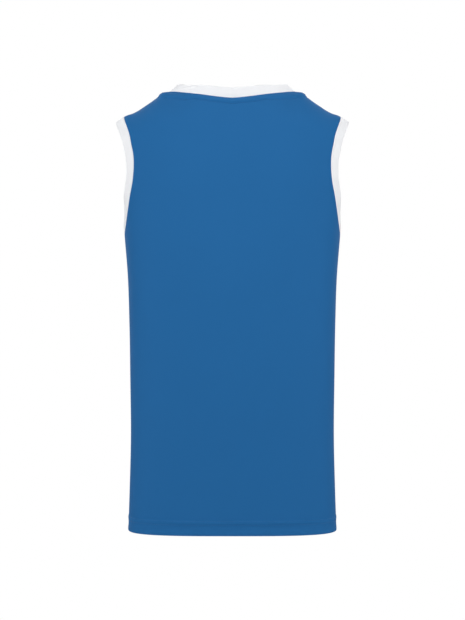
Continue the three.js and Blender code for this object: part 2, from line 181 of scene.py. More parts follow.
@dataclass
class GarmentForm:
    """The worn cloth's middle form, without its thickness: level sections, rounded over at the shoulders."""

    body_length: float = 0.760
    underarm: float = -0.255
    neck_half_width: float = 0.110
    back_neck_drop: float = 0.018
    back_neck_curve: float = 1.38
    front_neck_drop: float = 0.115
    front_neck_squareness: float = 2.3
    neck_rounding: float = 0.070
    tip_rounding: float = 0.055
    shoulder_tip: float = -0.0433
    shoulder_tip_across: float = 0.1884
    slope_step: float = 1e-5
    angle_step: float = 1e-4
    on_seam: float = 1e-3
    halvings: int = 44
    sections: tuple[Section, ...] = (
        Section(0.020, 0.2120, 0.0460, 0.0480, 2.25),
        Section(0.000, 0.2105, 0.0585, 0.0600, 2.25),
        Section(-0.030, 0.2080, 0.0790, 0.0800, 2.3),
        Section(-0.060, 0.2055, 0.0960, 0.0950, 2.35),
        Section(-0.100, 0.2015, 0.1120, 0.1085, 2.45),
        Section(-0.150, 0.1970, 0.1240, 0.1200, 2.6),
        Section(-0.200, 0.1915, 0.1290, 0.1270, 2.7),
        Section(-0.255, 0.1870, 0.1305, 0.1280, 2.8),
        Section(-0.320, 0.1818, 0.1285, 0.1250, 2.8),
        Section(-0.400, 0.1790, 0.1235, 0.1190, 2.85),
        Section(-0.500, 0.1774, 0.1185, 0.1140, 2.9),
        Section(-0.600, 0.1763, 0.1180, 0.1135, 3.0),
        Section(-0.690, 0.1782, 0.1210, 0.1155, 3.2),
        Section(-0.760, 0.1803, 0.1245, 0.1180, 3.35),
    )
    shoulder_knots: tuple[ShoulderKnot, ...] = (
        ShoulderKnot(0.0000, 0.0950),
        ShoulderKnot(0.0500, 0.0500),
        ShoulderKnot(0.0700, 0.0270),
        ShoulderKnot(0.0900, 0.0110),
        ShoulderKnot(0.1000, 0.0050),
        ShoulderKnot(0.1100, 0.0000),
        ShoulderKnot(0.1180, -0.0024),
        ShoulderKnot(0.1240, -0.0051),
        ShoulderKnot(0.1280, -0.0079),
        ShoulderKnot(0.1400, -0.0171),
        ShoulderKnot(0.1520, -0.0252),
        ShoulderKnot(0.1640, -0.0332),
        ShoulderKnot(0.1760, -0.0389),
        ShoulderKnot(0.1815, -0.0404),
        ShoulderKnot(0.1884, -0.0433),
        ShoulderKnot(0.2120, -0.0540),
    )
    armhole_knots: tuple[ArmholeKnot, ...] = (
        ArmholeKnot(-0.043, 0.0590, 0.0600),
        ArmholeKnot(-0.050, 0.0645, 0.0655),
        ArmholeKnot(-0.063, 0.0732, 0.0755),
        ArmholeKnot(-0.083, 0.0796, 0.0845),
        ArmholeKnot(-0.100, 0.0794, 0.0865),
        ArmholeKnot(-0.120, 0.0803, 0.0880),
        ArmholeKnot(-0.160, 0.0809, 0.0885),
        ArmholeKnot(-0.198, 0.0787, 0.0865),
        ArmholeKnot(-0.226, 0.0833, 0.0890),
        ArmholeKnot(-0.244, 0.0925, 0.0950),
        ArmholeKnot(-0.256, 0.0980, 0.0990),
    )

    def __post_init__(self) -> None:
        """Draws the smooth curves through the tables."""
        levels = [row.z for row in self.sections]
        self.half_width = SmoothCurve(levels, [row.half for row in self.sections])
        self.squareness = SmoothCurve(levels, [row.square for row in self.sections])
        self.depths = {
            Side.BACK: SmoothCurve(levels, [row.back for row in self.sections]),
            Side.FRONT: SmoothCurve(levels, [row.chest for row in self.sections]),
        }
        heights = [knot.z for knot in self.armhole_knots]
        self.breadths = {
            Side.BACK: SmoothCurve(heights, [knot.back for knot in self.armhole_knots]),
            Side.FRONT: SmoothCurve(heights, [knot.front for knot in self.armhole_knots]),
        }
        self.shoulder_line = SmoothCurve(
            [knot.x for knot in self.shoulder_knots], [knot.z for knot in self.shoulder_knots]
        )

    def section_depth(self, side: Side, x: Array, z: Array) -> Array:
        """Measures how far a section stands out from the side seams, before the shoulder's round.

        Args:
            side: the panel.
            x: places across.
            z: the levels.

        Returns:
            The depths, all above 0.
        """
        power = self.squareness(z)
        left = np.maximum(0.0, 1 - np.abs(x / self.half_width(z)) ** power)
        return self.depths[side](z) * left ** (1 / power)

    def shoulder_share(self, x: Array, z: Array) -> Array:
        """Measures how the cloth rounds over under the shoulder seam.

        Args:
            x: places across.
            z: the levels.

        Returns:
            The share of the section's depth that is left, from 0 at the seam to 1 well below it.
        """
        beyond = (np.abs(x) - self.neck_half_width) / (self.shoulder_tip_across - self.neck_half_width)
        rounding = lerp(self.neck_rounding, self.tip_rounding, np.clip(beyond, 0.0, 1.0))
        fall = np.clip((self.shoulder_line(np.abs(x)) - z) / rounding, 0.0, 1.0)
        return np.sqrt(1 - (1 - fall) ** 2)

    def place_of(self, side: Side, x: Array, z: Array) -> tuple[Array, Array]:
        """Returns a place on the cloth as its angle round the section and its level."""
        return np.arctan2(x, self.section_depth(side, x, z)), z

    def points(self, side: Side, angle: Array, z: Array) -> Array:
        """Returns the cloth's points.

        Args:
            side: the panel.
            angle: angles round the section, 0 at the panel's middle and a right angle at its side.
            z: the levels.

        Returns:
            The points, with x, y and z last.
        """
        power = self.squareness(z)
        across = np.maximum(0.0, np.sin(angle))
        out = np.maximum(0.0, np.cos(angle))
        wide = (across / self.half_width(z)) ** power
        deep = (out / self.depths[side](z)) ** power
        reach = (wide + deep) ** (-1 / power)
        x = reach * across
        y = reach * out * self.shoulder_share(x, z)
        return np.stack([x, side.value * y, z], axis=-1)

    def slope(self, curve: SmoothCurve, where: Array) -> Array:
        """Returns a curve's slope."""
        step = self.slope_step
        return (curve(where + step) - curve(where - step)) / (2 * step)

    def outward(self, side: Side, angle: Array, z: Array) -> Array:
        """Finds the directions straight out of the cloth.

        Args:
            side: the panel.
            angle: angles round the section.
            z: the levels.

        Returns:
            Directions of length 1, the same from both panels along the seams that join them.
        """
        here = self.points(side, angle, z)
        turn = np.where(angle < math.pi / 4, self.angle_step, -self.angle_step)
        around = (self.points(side, angle + turn, z) - here) / turn[..., None]
        upward = here - self.points(side, angle, z - self.slope_step)
        normals = unit(-side.value * np.cross(around, upward))
        flat = np.zeros_like(z)
        shoulder = np.stack([-self.slope(self.shoulder_line, here[..., 0]), flat, flat + 1], axis=-1)
        flank = np.stack([flat + 1, flat, -self.slope(self.half_width, z)], axis=-1)
        on_flank = (np.cos(angle) < self.on_seam)[..., None]
        on_shoulder = (self.shoulder_share(here[..., 0], z) < self.on_seam)[..., None]
        return np.where(on_shoulder, unit(shoulder), np.where(on_flank, unit(flank), normals))

    def armhole(self, side: Side, share: Array) -> tuple[Array, Array]:
        """Finds places on the armhole's edge.

        Args:
            side: the panel.
            share: 0 at the underarm and 1 at the shoulder.

        Returns:
            The places' angles and levels.
        """
        middle = (self.underarm + self.shoulder_tip) / 2
        z = middle - (self.shoulder_tip - middle) * np.cos(math.pi * share)
        depth = self.breadths[side](z) * np.sin(math.pi * share)
        inner = np.full_like(z, self.neck_half_width)
        outer = self.half_width(z)
        for _ in range(self.halvings):
            x = (inner + outer) / 2
            deeper = self.section_depth(side, x, z) * self.shoulder_share(x, z) > depth
            inner = np.where(deeper, x, inner)
            outer = np.where(deeper, outer, x)
        return self.place_of(side, inner, z)

    def neckline(self, side: Side, share: Array) -> tuple[Array, Array]:
        """Finds places on the neckline.

        Args:
            side: the panel.
            share: 0 at the neckline's middle and 1 at the shoulder.

        Returns:
            The places' angles and levels.
        """
        if side is Side.BACK:
            x = self.neck_half_width * share
            return self.place_of(side, x, -self.back_neck_drop * (1 - share**self.back_neck_curve))
        turn = share * math.pi / 2
        power = 2 / self.front_neck_squareness
        x = self.neck_half_width * np.sin(turn) ** power
        return self.place_of(side, x, -self.front_neck_drop * np.maximum(0.0, np.cos(turn)) ** power)

    def shoulder(self, side: Side, share: Array) -> tuple[Array, Array]:
        """Finds places on the shoulder seam.

        Args:
            side: the panel.
            share: 0 at the neck and 1 at the armhole.

        Returns:
            The places' angles and levels.
        """
        tip_angle, tip_z = self.armhole(side, np.ones(1))
        tip = self.points(side, tip_angle, tip_z)[0, 0]
        x = lerp(self.neck_half_width, tip, share)
        return self.place_of(side, x, self.shoulder_line(x))


@dataclass
class NeckRidge:
    """The low ridge that the seam allowance makes under the cloth round the neck.

    The cloth climbs slowly away from the neck seam and drops to the row of stitches that holds the
    allowance down. The row lies further from the seam at the shoulders.
    """

    form: GarmentForm
    width_at_centre: float = 0.0125
    width_at_shoulder: float = 0.021
    height_at_centre: float = 0.0018
    height_at_shoulder: float = 0.0026
    peak_scale: float = 27 / 4
    groove_depth: float = 0.0009
    groove_width: float = 0.0016

    def to_shoulder(self, x: Array) -> Array:
        """Returns 0 over the middle of the neckline and 1 at the shoulders."""
        half = self.form.neck_half_width
        return smoothstep(np.abs(x), half / 2, half)

    def width(self, x: Array) -> Array:
        """Returns how far from the neck seam the stitches run."""
        return lerp(self.width_at_centre, self.width_at_shoulder, self.to_shoulder(x))

    def lift(self, x: Array, distance: Array) -> Array:
        """Measures the ridge.

        Args:
            x: places across.
            distance: distances from the neck seam.

        Returns:
            How far the cloth stands out there.
        """
        height = lerp(self.height_at_centre, self.height_at_shoulder, self.to_shoulder(x))
        share = np.minimum(1.0, distance / self.width(x))
        groove = np.exp(-(((distance - self.width(x)) / self.groove_width) ** 2))
        return height * self.peak_scale * share**2 * (1 - share) - self.groove_depth * groove


@dataclass(frozen=True)
class HemKnot:
    """How far the hem's cloth stands out at a height over the hem's edge."""

    height: float
    out: float


@dataclass
class HemRelief:
    """The hem's face: a step out over the turned-up edge, lower at the sides, and two stitched grooves."""

    at_sides: float = 0.40
    fades_from: float = 0.70
    stitch_heights: tuple[float, ...] = (0.0185, 0.0245)
    turn_up: float = 0.025
    groove_depth: float = 0.00025
    groove_width: float = 0.0007
    knots: tuple[HemKnot, ...] = (
        HemKnot(0.000, 0.0006),
        HemKnot(0.005, 0.0010),
        HemKnot(0.010, 0.0002),
        HemKnot(0.017, 0.0004),
        HemKnot(0.0205, 0.0015),
        HemKnot(0.023, 0.0019),
        HemKnot(0.0265, 0.0001),
        HemKnot(0.030, 0.0),
    )

    def __post_init__(self) -> None:
        """Draws the smooth profile through the knots."""
        self.profile = SmoothCurve([k.height for k in self.knots], [k.out for k in self.knots])

    def lift(self, height: Array) -> Array:
        """Measures the hem's face.

        Args:
            height: heights over the hem's edge.

        Returns:
            How far the cloth stands out there.
        """
        out = self.profile(height)
        for row in self.stitch_heights:
            out = out - self.groove_depth * np.exp(-(((height - row) / self.groove_width) ** 2))
        return out


@dataclass(frozen=True)
class Crease:
    """A soft ridge, or a trough where rise is negative, laid across a panel.

    x and z are its middle, length and width its reach from the middle, and lean turns its top towards
    the wearer's left, in degrees.
    """

    side: Side
    x: float
    z: float
    length: float
    width: float
    rise: float
    lean: float = 0.0

    def lift(self, points: Array) -> Array:
        """Measures the crease.

        Args:
            points: points of the cloth.

        Returns:
            How far the crease moves each of them out.
        """
        turn = math.radians(self.lean)
        along = (points[..., 2] - self.z) * math.cos(turn) + (points[..., 0] - self.x) * math.sin(turn)
        across = (points[..., 0] - self.x) * math.cos(turn) - (points[..., 2] - self.z) * math.sin(turn)
        return self.rise * np.exp(-((along / self.length) ** 2) - (across / self.width) ** 2)


def both_hands(*creases: Crease) -> tuple[Crease, ...]:
    """Returns the creases with their mirror images on the wearer's other side."""
    mirrored = [Crease(c.side, -c.x, c.z, c.length, c.width, c.rise, -c.lean) for c in creases]
    return (*creases, *mirrored)


CREASES = (
    Crease(Side.BACK, 0.000, -0.190, 0.115, 0.055, -0.0060),
    *both_hands(
        Crease(Side.BACK, 0.098, -0.372, 0.075, 0.022, -0.0020, lean=8),
        Crease(Side.BACK, 0.085, -0.150, 0.080, 0.040, 0.0016, lean=20),
        Crease(Side.FRONT, 0.070, -0.225, 0.070, 0.055, 0.0022, lean=14),
    ),
    Crease(Side.BACK, 0.000, -0.655, 0.090, 0.090, -0.0012),
    Crease(Side.FRONT, 0.004, -0.260, 0.090, 0.030, -0.0020, lean=3),
    Crease(Side.FRONT, 0.112, -0.385, 0.085, 0.017, -0.0012, lean=12),
    Crease(Side.FRONT, -0.104, -0.402, 0.070, 0.019, -0.0010, lean=-9),
    Crease(Side.FRONT, 0.046, -0.610, 0.110, 0.030, -0.0010, lean=-4),
    Crease(Side.FRONT, -0.062, -0.640, 0.090, 0.026, -0.0009, lean=6),
)


def distance_to_line(points: Array, line: Array) -> Array:
    """Distances from points to a line of straight stretches.

    Args:
        points: an array of points.
        line: the line's corners in order.

    Returns:
        The shortest distance of each point.
    """
    least = np.full(points.shape[:-1], np.inf)
    for start, end in zip(line[:-1], line[1:]):
        stretch = end - start
        share = np.clip(((points - start) @ stretch) / (stretch @ stretch), 0.0, 1.0)
        least = np.minimum(least, np.linalg.norm(points - start - share[..., None] * stretch, axis=-1))
    return least


def grid_faces(rows: int, columns: int, close_rows: bool, close_columns: bool) -> Array:
    """Four-cornered faces of a grid of points, row after row.

    Args:
        rows: the number of rows.
        columns: the number of points in a row.
        close_rows: whether the last row joins the first.
        close_columns: whether each row's last point joins its first.

    Returns:
        One row of four point numbers for each face.
    """
    r, c = np.meshgrid(
        np.arange(rows if close_rows else rows - 1),
        np.arange(columns if close_columns else columns - 1),
        indexing="ij",
    )
    up, on = (r + 1) % rows, (c + 1) % columns
    corners = [r * columns + c, r * columns + on, up * columns + on, up * columns + c]
    return np.stack(corners, axis=-1).reshape(-1, 4)


def cap_faces(count: int) -> Array:
    """Returns faces over the open end of a folded wall, whose section has a number of points."""
    k = np.arange(count // 2 - 1)
    return np.stack([k, count - 1 - k, count - 2 - k, k + 1], axis=-1)


def facing_out(points: Array, faces: Array) -> Array:
    """Turns a closed mesh's faces outwards.

    Args:
        points: the mesh's points.
        faces: four point numbers for each face.

    Returns:
        The faces, turned round if they enclosed a negative volume.
    """
    a, b, c, d = (points[faces[:, k]] for k in range(4))
    volume = np.einsum("ij,ij->", a, np.cross(b, c)) + np.einsum("ij,ij->", a, np.cross(c, d))
    return faces if volume > 0 else faces[:, ::-1]


def add_object(name: str, data: bpy.types.ID) -> bpy.types.Object:
    """Adds an object to the scene.

    Args:
        name: the object's name.
        data: its mesh, light or camera.

    Returns:
        The object, at the origin.
    """
    item = bpy.data.objects.new(name, data)
    bpy.context.scene.collection.objects.link(item)
    return item


def mark_points(mesh: bpy.types.Mesh, name: str, values: Array) -> None:
    """Keeps a number or a direction on each point of a mesh, for its nodes.

    Args:
        mesh: the mesh.
        name: the attribute's name.
        values: a number, or a row of three, for each point.
    """
    kind, key = ("FLOAT", "value") if values.ndim == 1 else ("FLOAT_VECTOR", "vector")
    layer = mesh.attributes.new(name, kind, "POINT")
    layer.data.foreach_set(key, values.astype(np.float32).ravel())


def mesh_piece(name: str, points: Array, faces: Array, uv: Array) -> bpy.types.Object:
    """Makes a smooth mesh object, at the origin.

    Args:
        name: the piece's name.
        points: its points.
        faces: four point numbers for each face.
        uv: the place of each point on the flat cloth, in metres.

    Returns:
        The new object, linked into the scene.
    """
    mesh = bpy.data.meshes.new(name)
    mesh.from_pydata(points.tolist(), [], faces.tolist())
    layer = mesh.uv_layers.new(name="UVMap")
    layer.uv.foreach_set("vector", uv[faces.ravel()].astype(np.float32).ravel())
    mesh.shade_smooth()
    mesh.update()
    return add_object(name, mesh)


def settle(piece: bpy.types.Object) -> None:
    """Turns a piece's live modifiers into its own plain mesh.

    Args:
        piece: the piece, whose modifiers are removed.
    """
    depsgraph = bpy.context.evaluated_depsgraph_get()
    mesh = bpy.data.meshes.new_from_object(
        piece.evaluated_get(depsgraph), preserve_all_data_layers=True, depsgraph=depsgraph
    )
    piece.modifiers.clear()
    old = piece.data
    piece.data = mesh
    mesh.name = piece.name
    bpy.data.meshes.remove(old)
    used = {face.material_index for face in mesh.polygons}
    for spare in reversed([k for k in range(len(mesh.materials)) if k not in used]):
        mesh.materials.pop(index=spare)


def wear(piece: bpy.types.Object) -> None:
    """Lets a piece ride on the jersey's body and logs its number of faces.

    Args:
        piece: the finished piece.
    """
    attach(piece, BODY)
    LOG.info("%s: %d faces", piece.name, len(piece.data.polygons))


class NodeWeb:
    """Adds and joins the nodes of one tree."""

    def __init__(self, tree: bpy.types.NodeTree) -> None:
        """Keeps the tree that the nodes go into."""
        self.tree = tree

    def add(self, kind: str, inputs: dict | None = None, **settings: object) -> bpy.types.Node:
        """Adds a node.

        Args:
            kind: the node's type.
            inputs: sockets to join, or values to set, by input name or number.
            settings: the node's own properties.

        Returns:
            The new node.
        """
        node = self.tree.nodes.new(kind)
        for key, value in settings.items():
            setattr(node, key, value)
        for key, value in (inputs or {}).items():
            if isinstance(value, bpy.types.NodeSocket):
                self.tree.links.new(value, node.inputs[key])
            else:
                node.inputs[key].default_value = value
        return node

    def math(self, operation: str, *values: bpy.types.NodeSocket | float) -> bpy.types.NodeSocket:
        """Returns the output of a Math node."""
        return self.add("ShaderNodeMath", dict(enumerate(values)), operation=operation).outputs[0]

    def noise(self, scale: float, detail: float) -> bpy.types.NodeSocket:
        """Adds noise that keeps its place on the piece.

        Args:
            scale: how fine the noise is.
            detail: how many finer layers it has.

        Returns:
            Its value, from 0 to 1.
        """
        place = self.add("ShaderNodeTexCoord").outputs["Object"]
        inputs = {"Vector": place, "Scale": scale, "Detail": detail}
        return self.add("ShaderNodeTexNoise", inputs).outputs["Fac"]


def empty_web(owner: bpy.types.Material | bpy.types.World) -> NodeWeb:
    """Clears the nodes of a material or a world.

    Args:
        owner: the material or the world.

    Returns:
        The web that takes its new nodes.
    """
    owner.use_nodes = True
    owner.node_tree.nodes.clear()
    return NodeWeb(owner.node_tree)


@dataclass(frozen=True)
class Finish:
    """A finish of two tints, mixed by fine noise over a bumped surface."""

    name: str
    colour: Tint
    shade: Tint
    roughness: float
    specular: float
    bump: float
    bump_distance: float

    def end(
        self,
        web: NodeWeb,
        mix: bpy.types.NodeSocket,
        height: bpy.types.NodeSocket,
        look: dict[str, bpy.types.NodeSocket | float],
    ) -> None:
        """Ends the material's nodes.

        Args:
            web: the material's nodes.
            mix: how much of the colour there is over the shade.
            height: the height of the surface.
            look: other inputs of the shader, by name.
        """
        tints = {"Factor": mix, "A": (*self.shade, 1.0), "B": (*self.colour, 1.0)}
        tint = web.add("ShaderNodeMix", tints, data_type="RGBA").outputs[2]
        relief = {"Strength": self.bump, "Distance": self.bump_distance, "Height": height}
        normal = web.add("ShaderNodeBump", relief).outputs["Normal"]
        inputs = {"Base Color": tint, "Normal": normal, "Specular IOR Level": self.specular, **look}
        shader = web.add("ShaderNodeBsdfPrincipled", inputs)
        web.add("ShaderNodeOutputMaterial", {"Surface": shader.outputs["BSDF"]})


@dataclass(frozen=True)
class KnitFinish(Finish):
    """A polyester knit: loops in columns and courses, a soft fibre noise and a faint sheen."""

    sheen: float
    wale: float
    course: float
    sheen_roughness: float = 0.45
    rung_share: float = 0.35
    fleck_scale: float = 900.0
    fleck_detail: float = 2.0
    cloud_scale: float = 5.0
    cloud_detail: float = 3.0
    cloud_share: float = 0.5
    rough_spread: float = 0.12
    fibre_height: float = 0.4

    def loops(self, web: NodeWeb) -> bpy.types.NodeSocket:
        """Makes the knitted loops, two slanting legs in each wale.

        Args:
            web: the material's nodes.

        Returns:
            The loops' height.
        """
        uv = web.add("ShaderNodeUVMap", uv_map="UVMap").outputs["UV"]
        parts = web.add("ShaderNodeSeparateXYZ", {"Vector": uv}).outputs
        wales = web.math("DIVIDE", parts["X"], self.wale)
        courses = web.math("DIVIDE", parts["Y"], self.course)
        leg = web.math("PINGPONG", wales, 0.5)
        ridge = web.math("SINE", web.math("MULTIPLY", leg, math.tau))
        slant = web.math("ADD", courses, leg)
        rung = web.math("SINE", web.math("MULTIPLY", slant, math.tau))
        lifted = web.math("MULTIPLY_ADD", rung, self.rung_share, 1 - self.rung_share)
        return web.math("MULTIPLY", ridge, lifted)

    def build(self) -> bpy.types.Material:
        """Makes the finish.

        Returns:
            Its material.
        """
        material = bpy.data.materials.new(self.name)
        web = empty_web(material)
        fleck = web.noise(self.fleck_scale, self.fleck_detail)
        cloud = web.noise(self.cloud_scale, self.cloud_detail)
        flecks = web.math("MULTIPLY", fleck, 1 - self.cloud_share)
        lowest = self.roughness - self.rough_spread / 2
        look = {
            "Roughness": web.math("MULTIPLY_ADD", fleck, self.rough_spread, lowest),
            "Sheen Weight": self.sheen,
            "Sheen Roughness": self.sheen_roughness,
        }
        mix = web.math("MULTIPLY_ADD", cloud, self.cloud_share, flecks)
        height = web.math("MULTIPLY_ADD", fleck, self.fibre_height, self.loops(web))
        self.end(web, mix, height, look)
        return material


@dataclass(frozen=True)
class ThreadFinish(Finish):
    """Spun polyester thread with a faint twist."""

    twist_scale: float = 1800.0
    twist_detail: float = 2.0

    def build(self) -> bpy.types.Material:
        """Makes the finish.

        Returns:
            Its material.
        """
        material = bpy.data.materials.new(self.name)
        web = empty_web(material)
        fibre = web.noise(self.twist_scale, self.twist_detail)
        self.end(web, fibre, fibre, {"Roughness": self.roughness})
        return material


BLUE_KNIT = KnitFinish(
    name="blue_interlock_knit",
    colour=(0.0172, 0.132, 0.350),
    shade=(0.0150, 0.121, 0.322),
    roughness=0.75,
    specular=0.08,
    bump=0.35,
    bump_distance=0.00012,
    sheen=0.0,
    wale=0.0009,
    course=0.0007,
)
WHITE_RIB = KnitFinish(
    name="white_rib_knit",
    colour=(0.875, 0.885, 0.905),
    shade=(0.835, 0.845, 0.868),
    roughness=0.85,
    specular=0.15,
    bump=0.35,
    bump_distance=0.00012,
    sheen=0.05,
    wale=0.0008,
    course=0.0008,
)
BLUE_THREAD = ThreadFinish(
    name="blue_sewing_thread",
    colour=(0.020, 0.130, 0.335),
    shade=(0.016, 0.104, 0.268),
    roughness=0.55,
    specular=0.35,
    bump=0.4,
    bump_distance=0.00005,
)


@dataclass
class Panel:
    """A cut panel of blue knit, worn: a thin wall with its hem turned up and its seam edges rolled in."""

    side: Side
    form: GarmentForm
    neck_ridge: NeckRidge
    hem: HemRelief
    cut_area: float
    cut_size: tuple[float, float] = (0.535, 0.780)
    thickness: float = 0.0009
    hem_thickness: float = 0.0021
    roll_width: float = 0.0016
    roll_depth: float = 0.0003
    ridge_inside: float = 0.6
    turn_up_ramp: float = 0.0005
    creases_free_from: float = 0.03
    neck_share: float = 2 / 3
    neck_crowding: float = 0.3
    neckline_crowding: float = 0.5
    shoulder_crowding: float = 0.8
    neck_columns: int = 46
    shoulder_columns: int = 24
    hem_rows: int = 28
    side_rows: int = 88
    armhole_rows: int = 92
    fold_faces: int = 7
    underarm_row_dip: float = 0.028
    underarm_row_power: float = 6
    edge_row_power: float = 3
    samples: int = 1500

    @property
    def name(self) -> str:
        """The name of the panel's CAD node."""
        return self.side.name.lower()

    def columns(self) -> Array:
        """Spaces the columns between the panel's middle and its side.

        Returns:
            Their places, as shares.
        """
        neck = self.neck_share * crowded(self.neck_columns, self.neck_crowding)
        over = crowded(self.shoulder_columns, self.shoulder_crowding)
        shoulder = lerp(self.neck_share, 1.0, over)
        return np.concatenate([neck, shoulder[1:]])

    def edge_at(
        self, curve: Callable[[Side, Array], tuple[Array, Array]], shares: Array
    ) -> tuple[Array, Array]:
        """Finds places on an edge at shares of its length.

        Args:
            curve: the form's method that gives the edge.
            shares: how far along the edge the places lie.

        Returns:
            The places' angles and levels.
        """
        angle, z = curve(self.side, np.linspace(0.0, 1.0, self.samples))
        lengths = lengths_along(self.form.points(self.side, angle, z))
        goals = shares * lengths[-1]
        return np.interp(goals, lengths, angle), np.interp(goals, lengths, z)

    def places(self) -> tuple[Array, Array]:
        """Lays a grid over half the panel, row by row from the hem up.

        Returns:
            The angles and levels of its points.
        """
        across = self.columns()
        side_angle = math.pi / 2 * across
        hem = np.full_like(across, -self.form.body_length)
        underarm = self.form.underarm
        dipped = underarm - self.underarm_row_dip * (1 - across**self.underarm_row_power)
        hem_heights = np.linspace(self.hem_thickness / 2, self.hem.knots[-1].height, self.hem_rows)
        low = [hem + height for height in hem_heights]
        low += [lerp(low[-1], dipped, k / self.side_rows) for k in range(1, self.side_rows + 1)]
        angles = [side_angle for _ in low]
        levels = list(low)
        on_neck = across <= self.neck_share
        neck = np.minimum(1.0, across[on_neck] / self.neck_share)
        neck = lerp(neck, np.sin(neck * math.pi / 2), self.neckline_crowding)
        over = (across[~on_neck] - self.neck_share) / (1 - self.neck_share)
        neck_angle, neck_z = self.edge_at(self.form.neckline, neck)
        over_angle, over_z = self.edge_at(self.form.shoulder, over)
        top_angle = np.concatenate([neck_angle, over_angle])
        top_z = np.concatenate([neck_z, over_z])
        shares = np.arange(1, self.armhole_rows + 1) / self.armhole_rows
        edge_angle, edge_z = self.form.armhole(self.side, shares)
        for k, share in enumerate(shares):
            at_edge = (1 - math.cos(math.pi * share)) / 2
            at_middle = math.sin(math.pi * share / 2)
            rise = lerp(at_middle, at_edge, across**self.edge_row_power)
            bulge_angle = edge_angle[k] - lerp(math.pi / 2, top_angle[-1], at_edge)
            bulge_z = edge_z[k] - lerp(underarm, top_z[-1], at_edge)
            angles.append(lerp(side_angle, top_angle, rise) + across * bulge_angle)
            levels.append(lerp(dipped, top_z, rise) + across * bulge_z)
        return np.array(angles), np.array(levels)

    @staticmethod
    def mirrored(half: Array, sign: float) -> Array:
        """Returns half a panel's values with their mirror image before them."""
        flip = Hand.RIGHT.flip if half.ndim == 3 else sign
        return np.concatenate([(half[:, 1:] * flip)[:, ::-1], half], axis=1)

    def lay_out(self) -> None:
        """Works out the panel's faces, flat places and sewn edges."""
        angle, z = self.places()
        base = self.form.points(self.side, angle, z)
        normals = self.form.outward(self.side, angle, z)
        across_steps = np.linalg.norm(np.diff(base, axis=1), axis=-1)
        upward_steps = np.linalg.norm(np.diff(base, axis=0), axis=-1)
        u = np.concatenate([np.zeros((len(base), 1)), np.cumsum(across_steps, axis=1)], axis=1)
        v = np.concatenate([np.zeros((1, base.shape[1])), np.cumsum(upward_steps, axis=0)])
        to_edge = np.minimum(u[:, -1:] - u, v[-1:] - v)
        rolled = self.roll_depth * np.clip(1 - to_edge / self.roll_width, 0.0, 1.0) ** 2
        neck_edge = base[-1, : self.neck_columns + 1]
        from_neck = distance_to_line(base, neck_edge)
        lift = self.neck_ridge.lift(base[..., 0], from_neck)
        height = z + self.form.body_length
        to_side = smoothstep(np.abs(base[..., 0]) / self.form.half_width(z), self.hem.fades_from, 1.0)
        hem_lift = self.hem.lift(height) * lerp(1.0, self.hem.at_sides, to_side)
        ramp = self.turn_up_ramp
        inner_step = smoothstep(height, self.hem.turn_up - ramp, self.hem.turn_up + ramp)
        self.from_neck = self.mirrored(from_neck, 1.0)
        self.u = self.mirrored(u, -1.0)
        self.v = self.mirrored(v, 1.0)
        self.normals = self.mirrored(normals, 1.0)
        self.base = self.mirrored(base, 1.0)
        soft = sum(c.lift(self.base) for c in CREASES if c.side is self.side)
        soft = soft * smoothstep(self.mirrored(to_edge, 1.0), 0.0, self.creases_free_from)
        wall = self.mirrored(lerp(self.hem_thickness, self.thickness, inner_step), 1.0)
        out = soft + self.mirrored(lift + hem_lift, 1.0)
        self.outer = self.base + self.normals * (out - self.mirrored(rolled, 1.0))[..., None]
        inner_lift = self.ridge_inside * np.maximum(lift, 0.0) + hem_lift * (1 - inner_step)
        inner_out = soft + self.mirrored(inner_lift, 1.0)
        self.inner = self.base + self.normals * (inner_out - wall)[..., None]

    def fold(self) -> Array:
        """Rounds the fold at the hem.

        Returns:
            Its rows of points, from the outer face to the inner one.
        """
        middle = (self.outer[0] + self.inner[0]) / 2
        out = (self.outer[0] - self.inner[0]) / 2
        radius = np.linalg.norm(out, axis=-1, keepdims=True)
        down = unit(self.base[0] - self.base[1])
        turns = half_turn(self.fold_faces)
        return np.array([middle + out * math.cos(t) + down * radius * math.sin(t) for t in turns])

    def build(self, material: bpy.types.Material) -> bpy.types.Object:
        """Makes the panel as one closed wall.

        Args:
            material: the knit.

        Returns:
            The panel.
        """
        fold = self.fold()
        loops = np.concatenate([self.outer[::-1], fold, self.inner])
        uv = np.stack([self.u, self.v], axis=-1)
        fold_uv = np.repeat(uv[:1], len(fold), axis=0)
        flat = np.concatenate([uv[::-1], fold_uv, uv])
        rows, columns = loops.shape[:2]
        wall = grid_faces(rows, columns, close_rows=True, close_columns=False)
        start = cap_faces(rows) * columns
        end = start[:, ::-1] + columns - 1
        faces = np.concatenate([wall, start, end])
        points = loops.reshape(-1, 3)
        name = f"{self.name}_panel"
        piece = mesh_piece(name, points, facing_out(points, faces), flat.reshape(-1, 2))
        piece.data.materials.append(material)
        wear(piece)
        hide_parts(self.name)
        return piece

    def hem_line(self, height: float, inside: bool) -> tuple[Array, Array]:
        """Follows the hem's face at a height.

        Args:
            height: the height over the hem's edge.
            inside: whether the line is on the inner face.

        Returns:
            The line's points and the directions off the cloth.
        """
        levels = self.base[:, self.base.shape[1] // 2, 2] + self.form.body_length
        row = int(np.argmin(np.abs(levels[: self.hem_rows] - height)))
        if inside:
            return self.inner[row], -self.normals[row]
        return self.outer[row], self.normals[row]

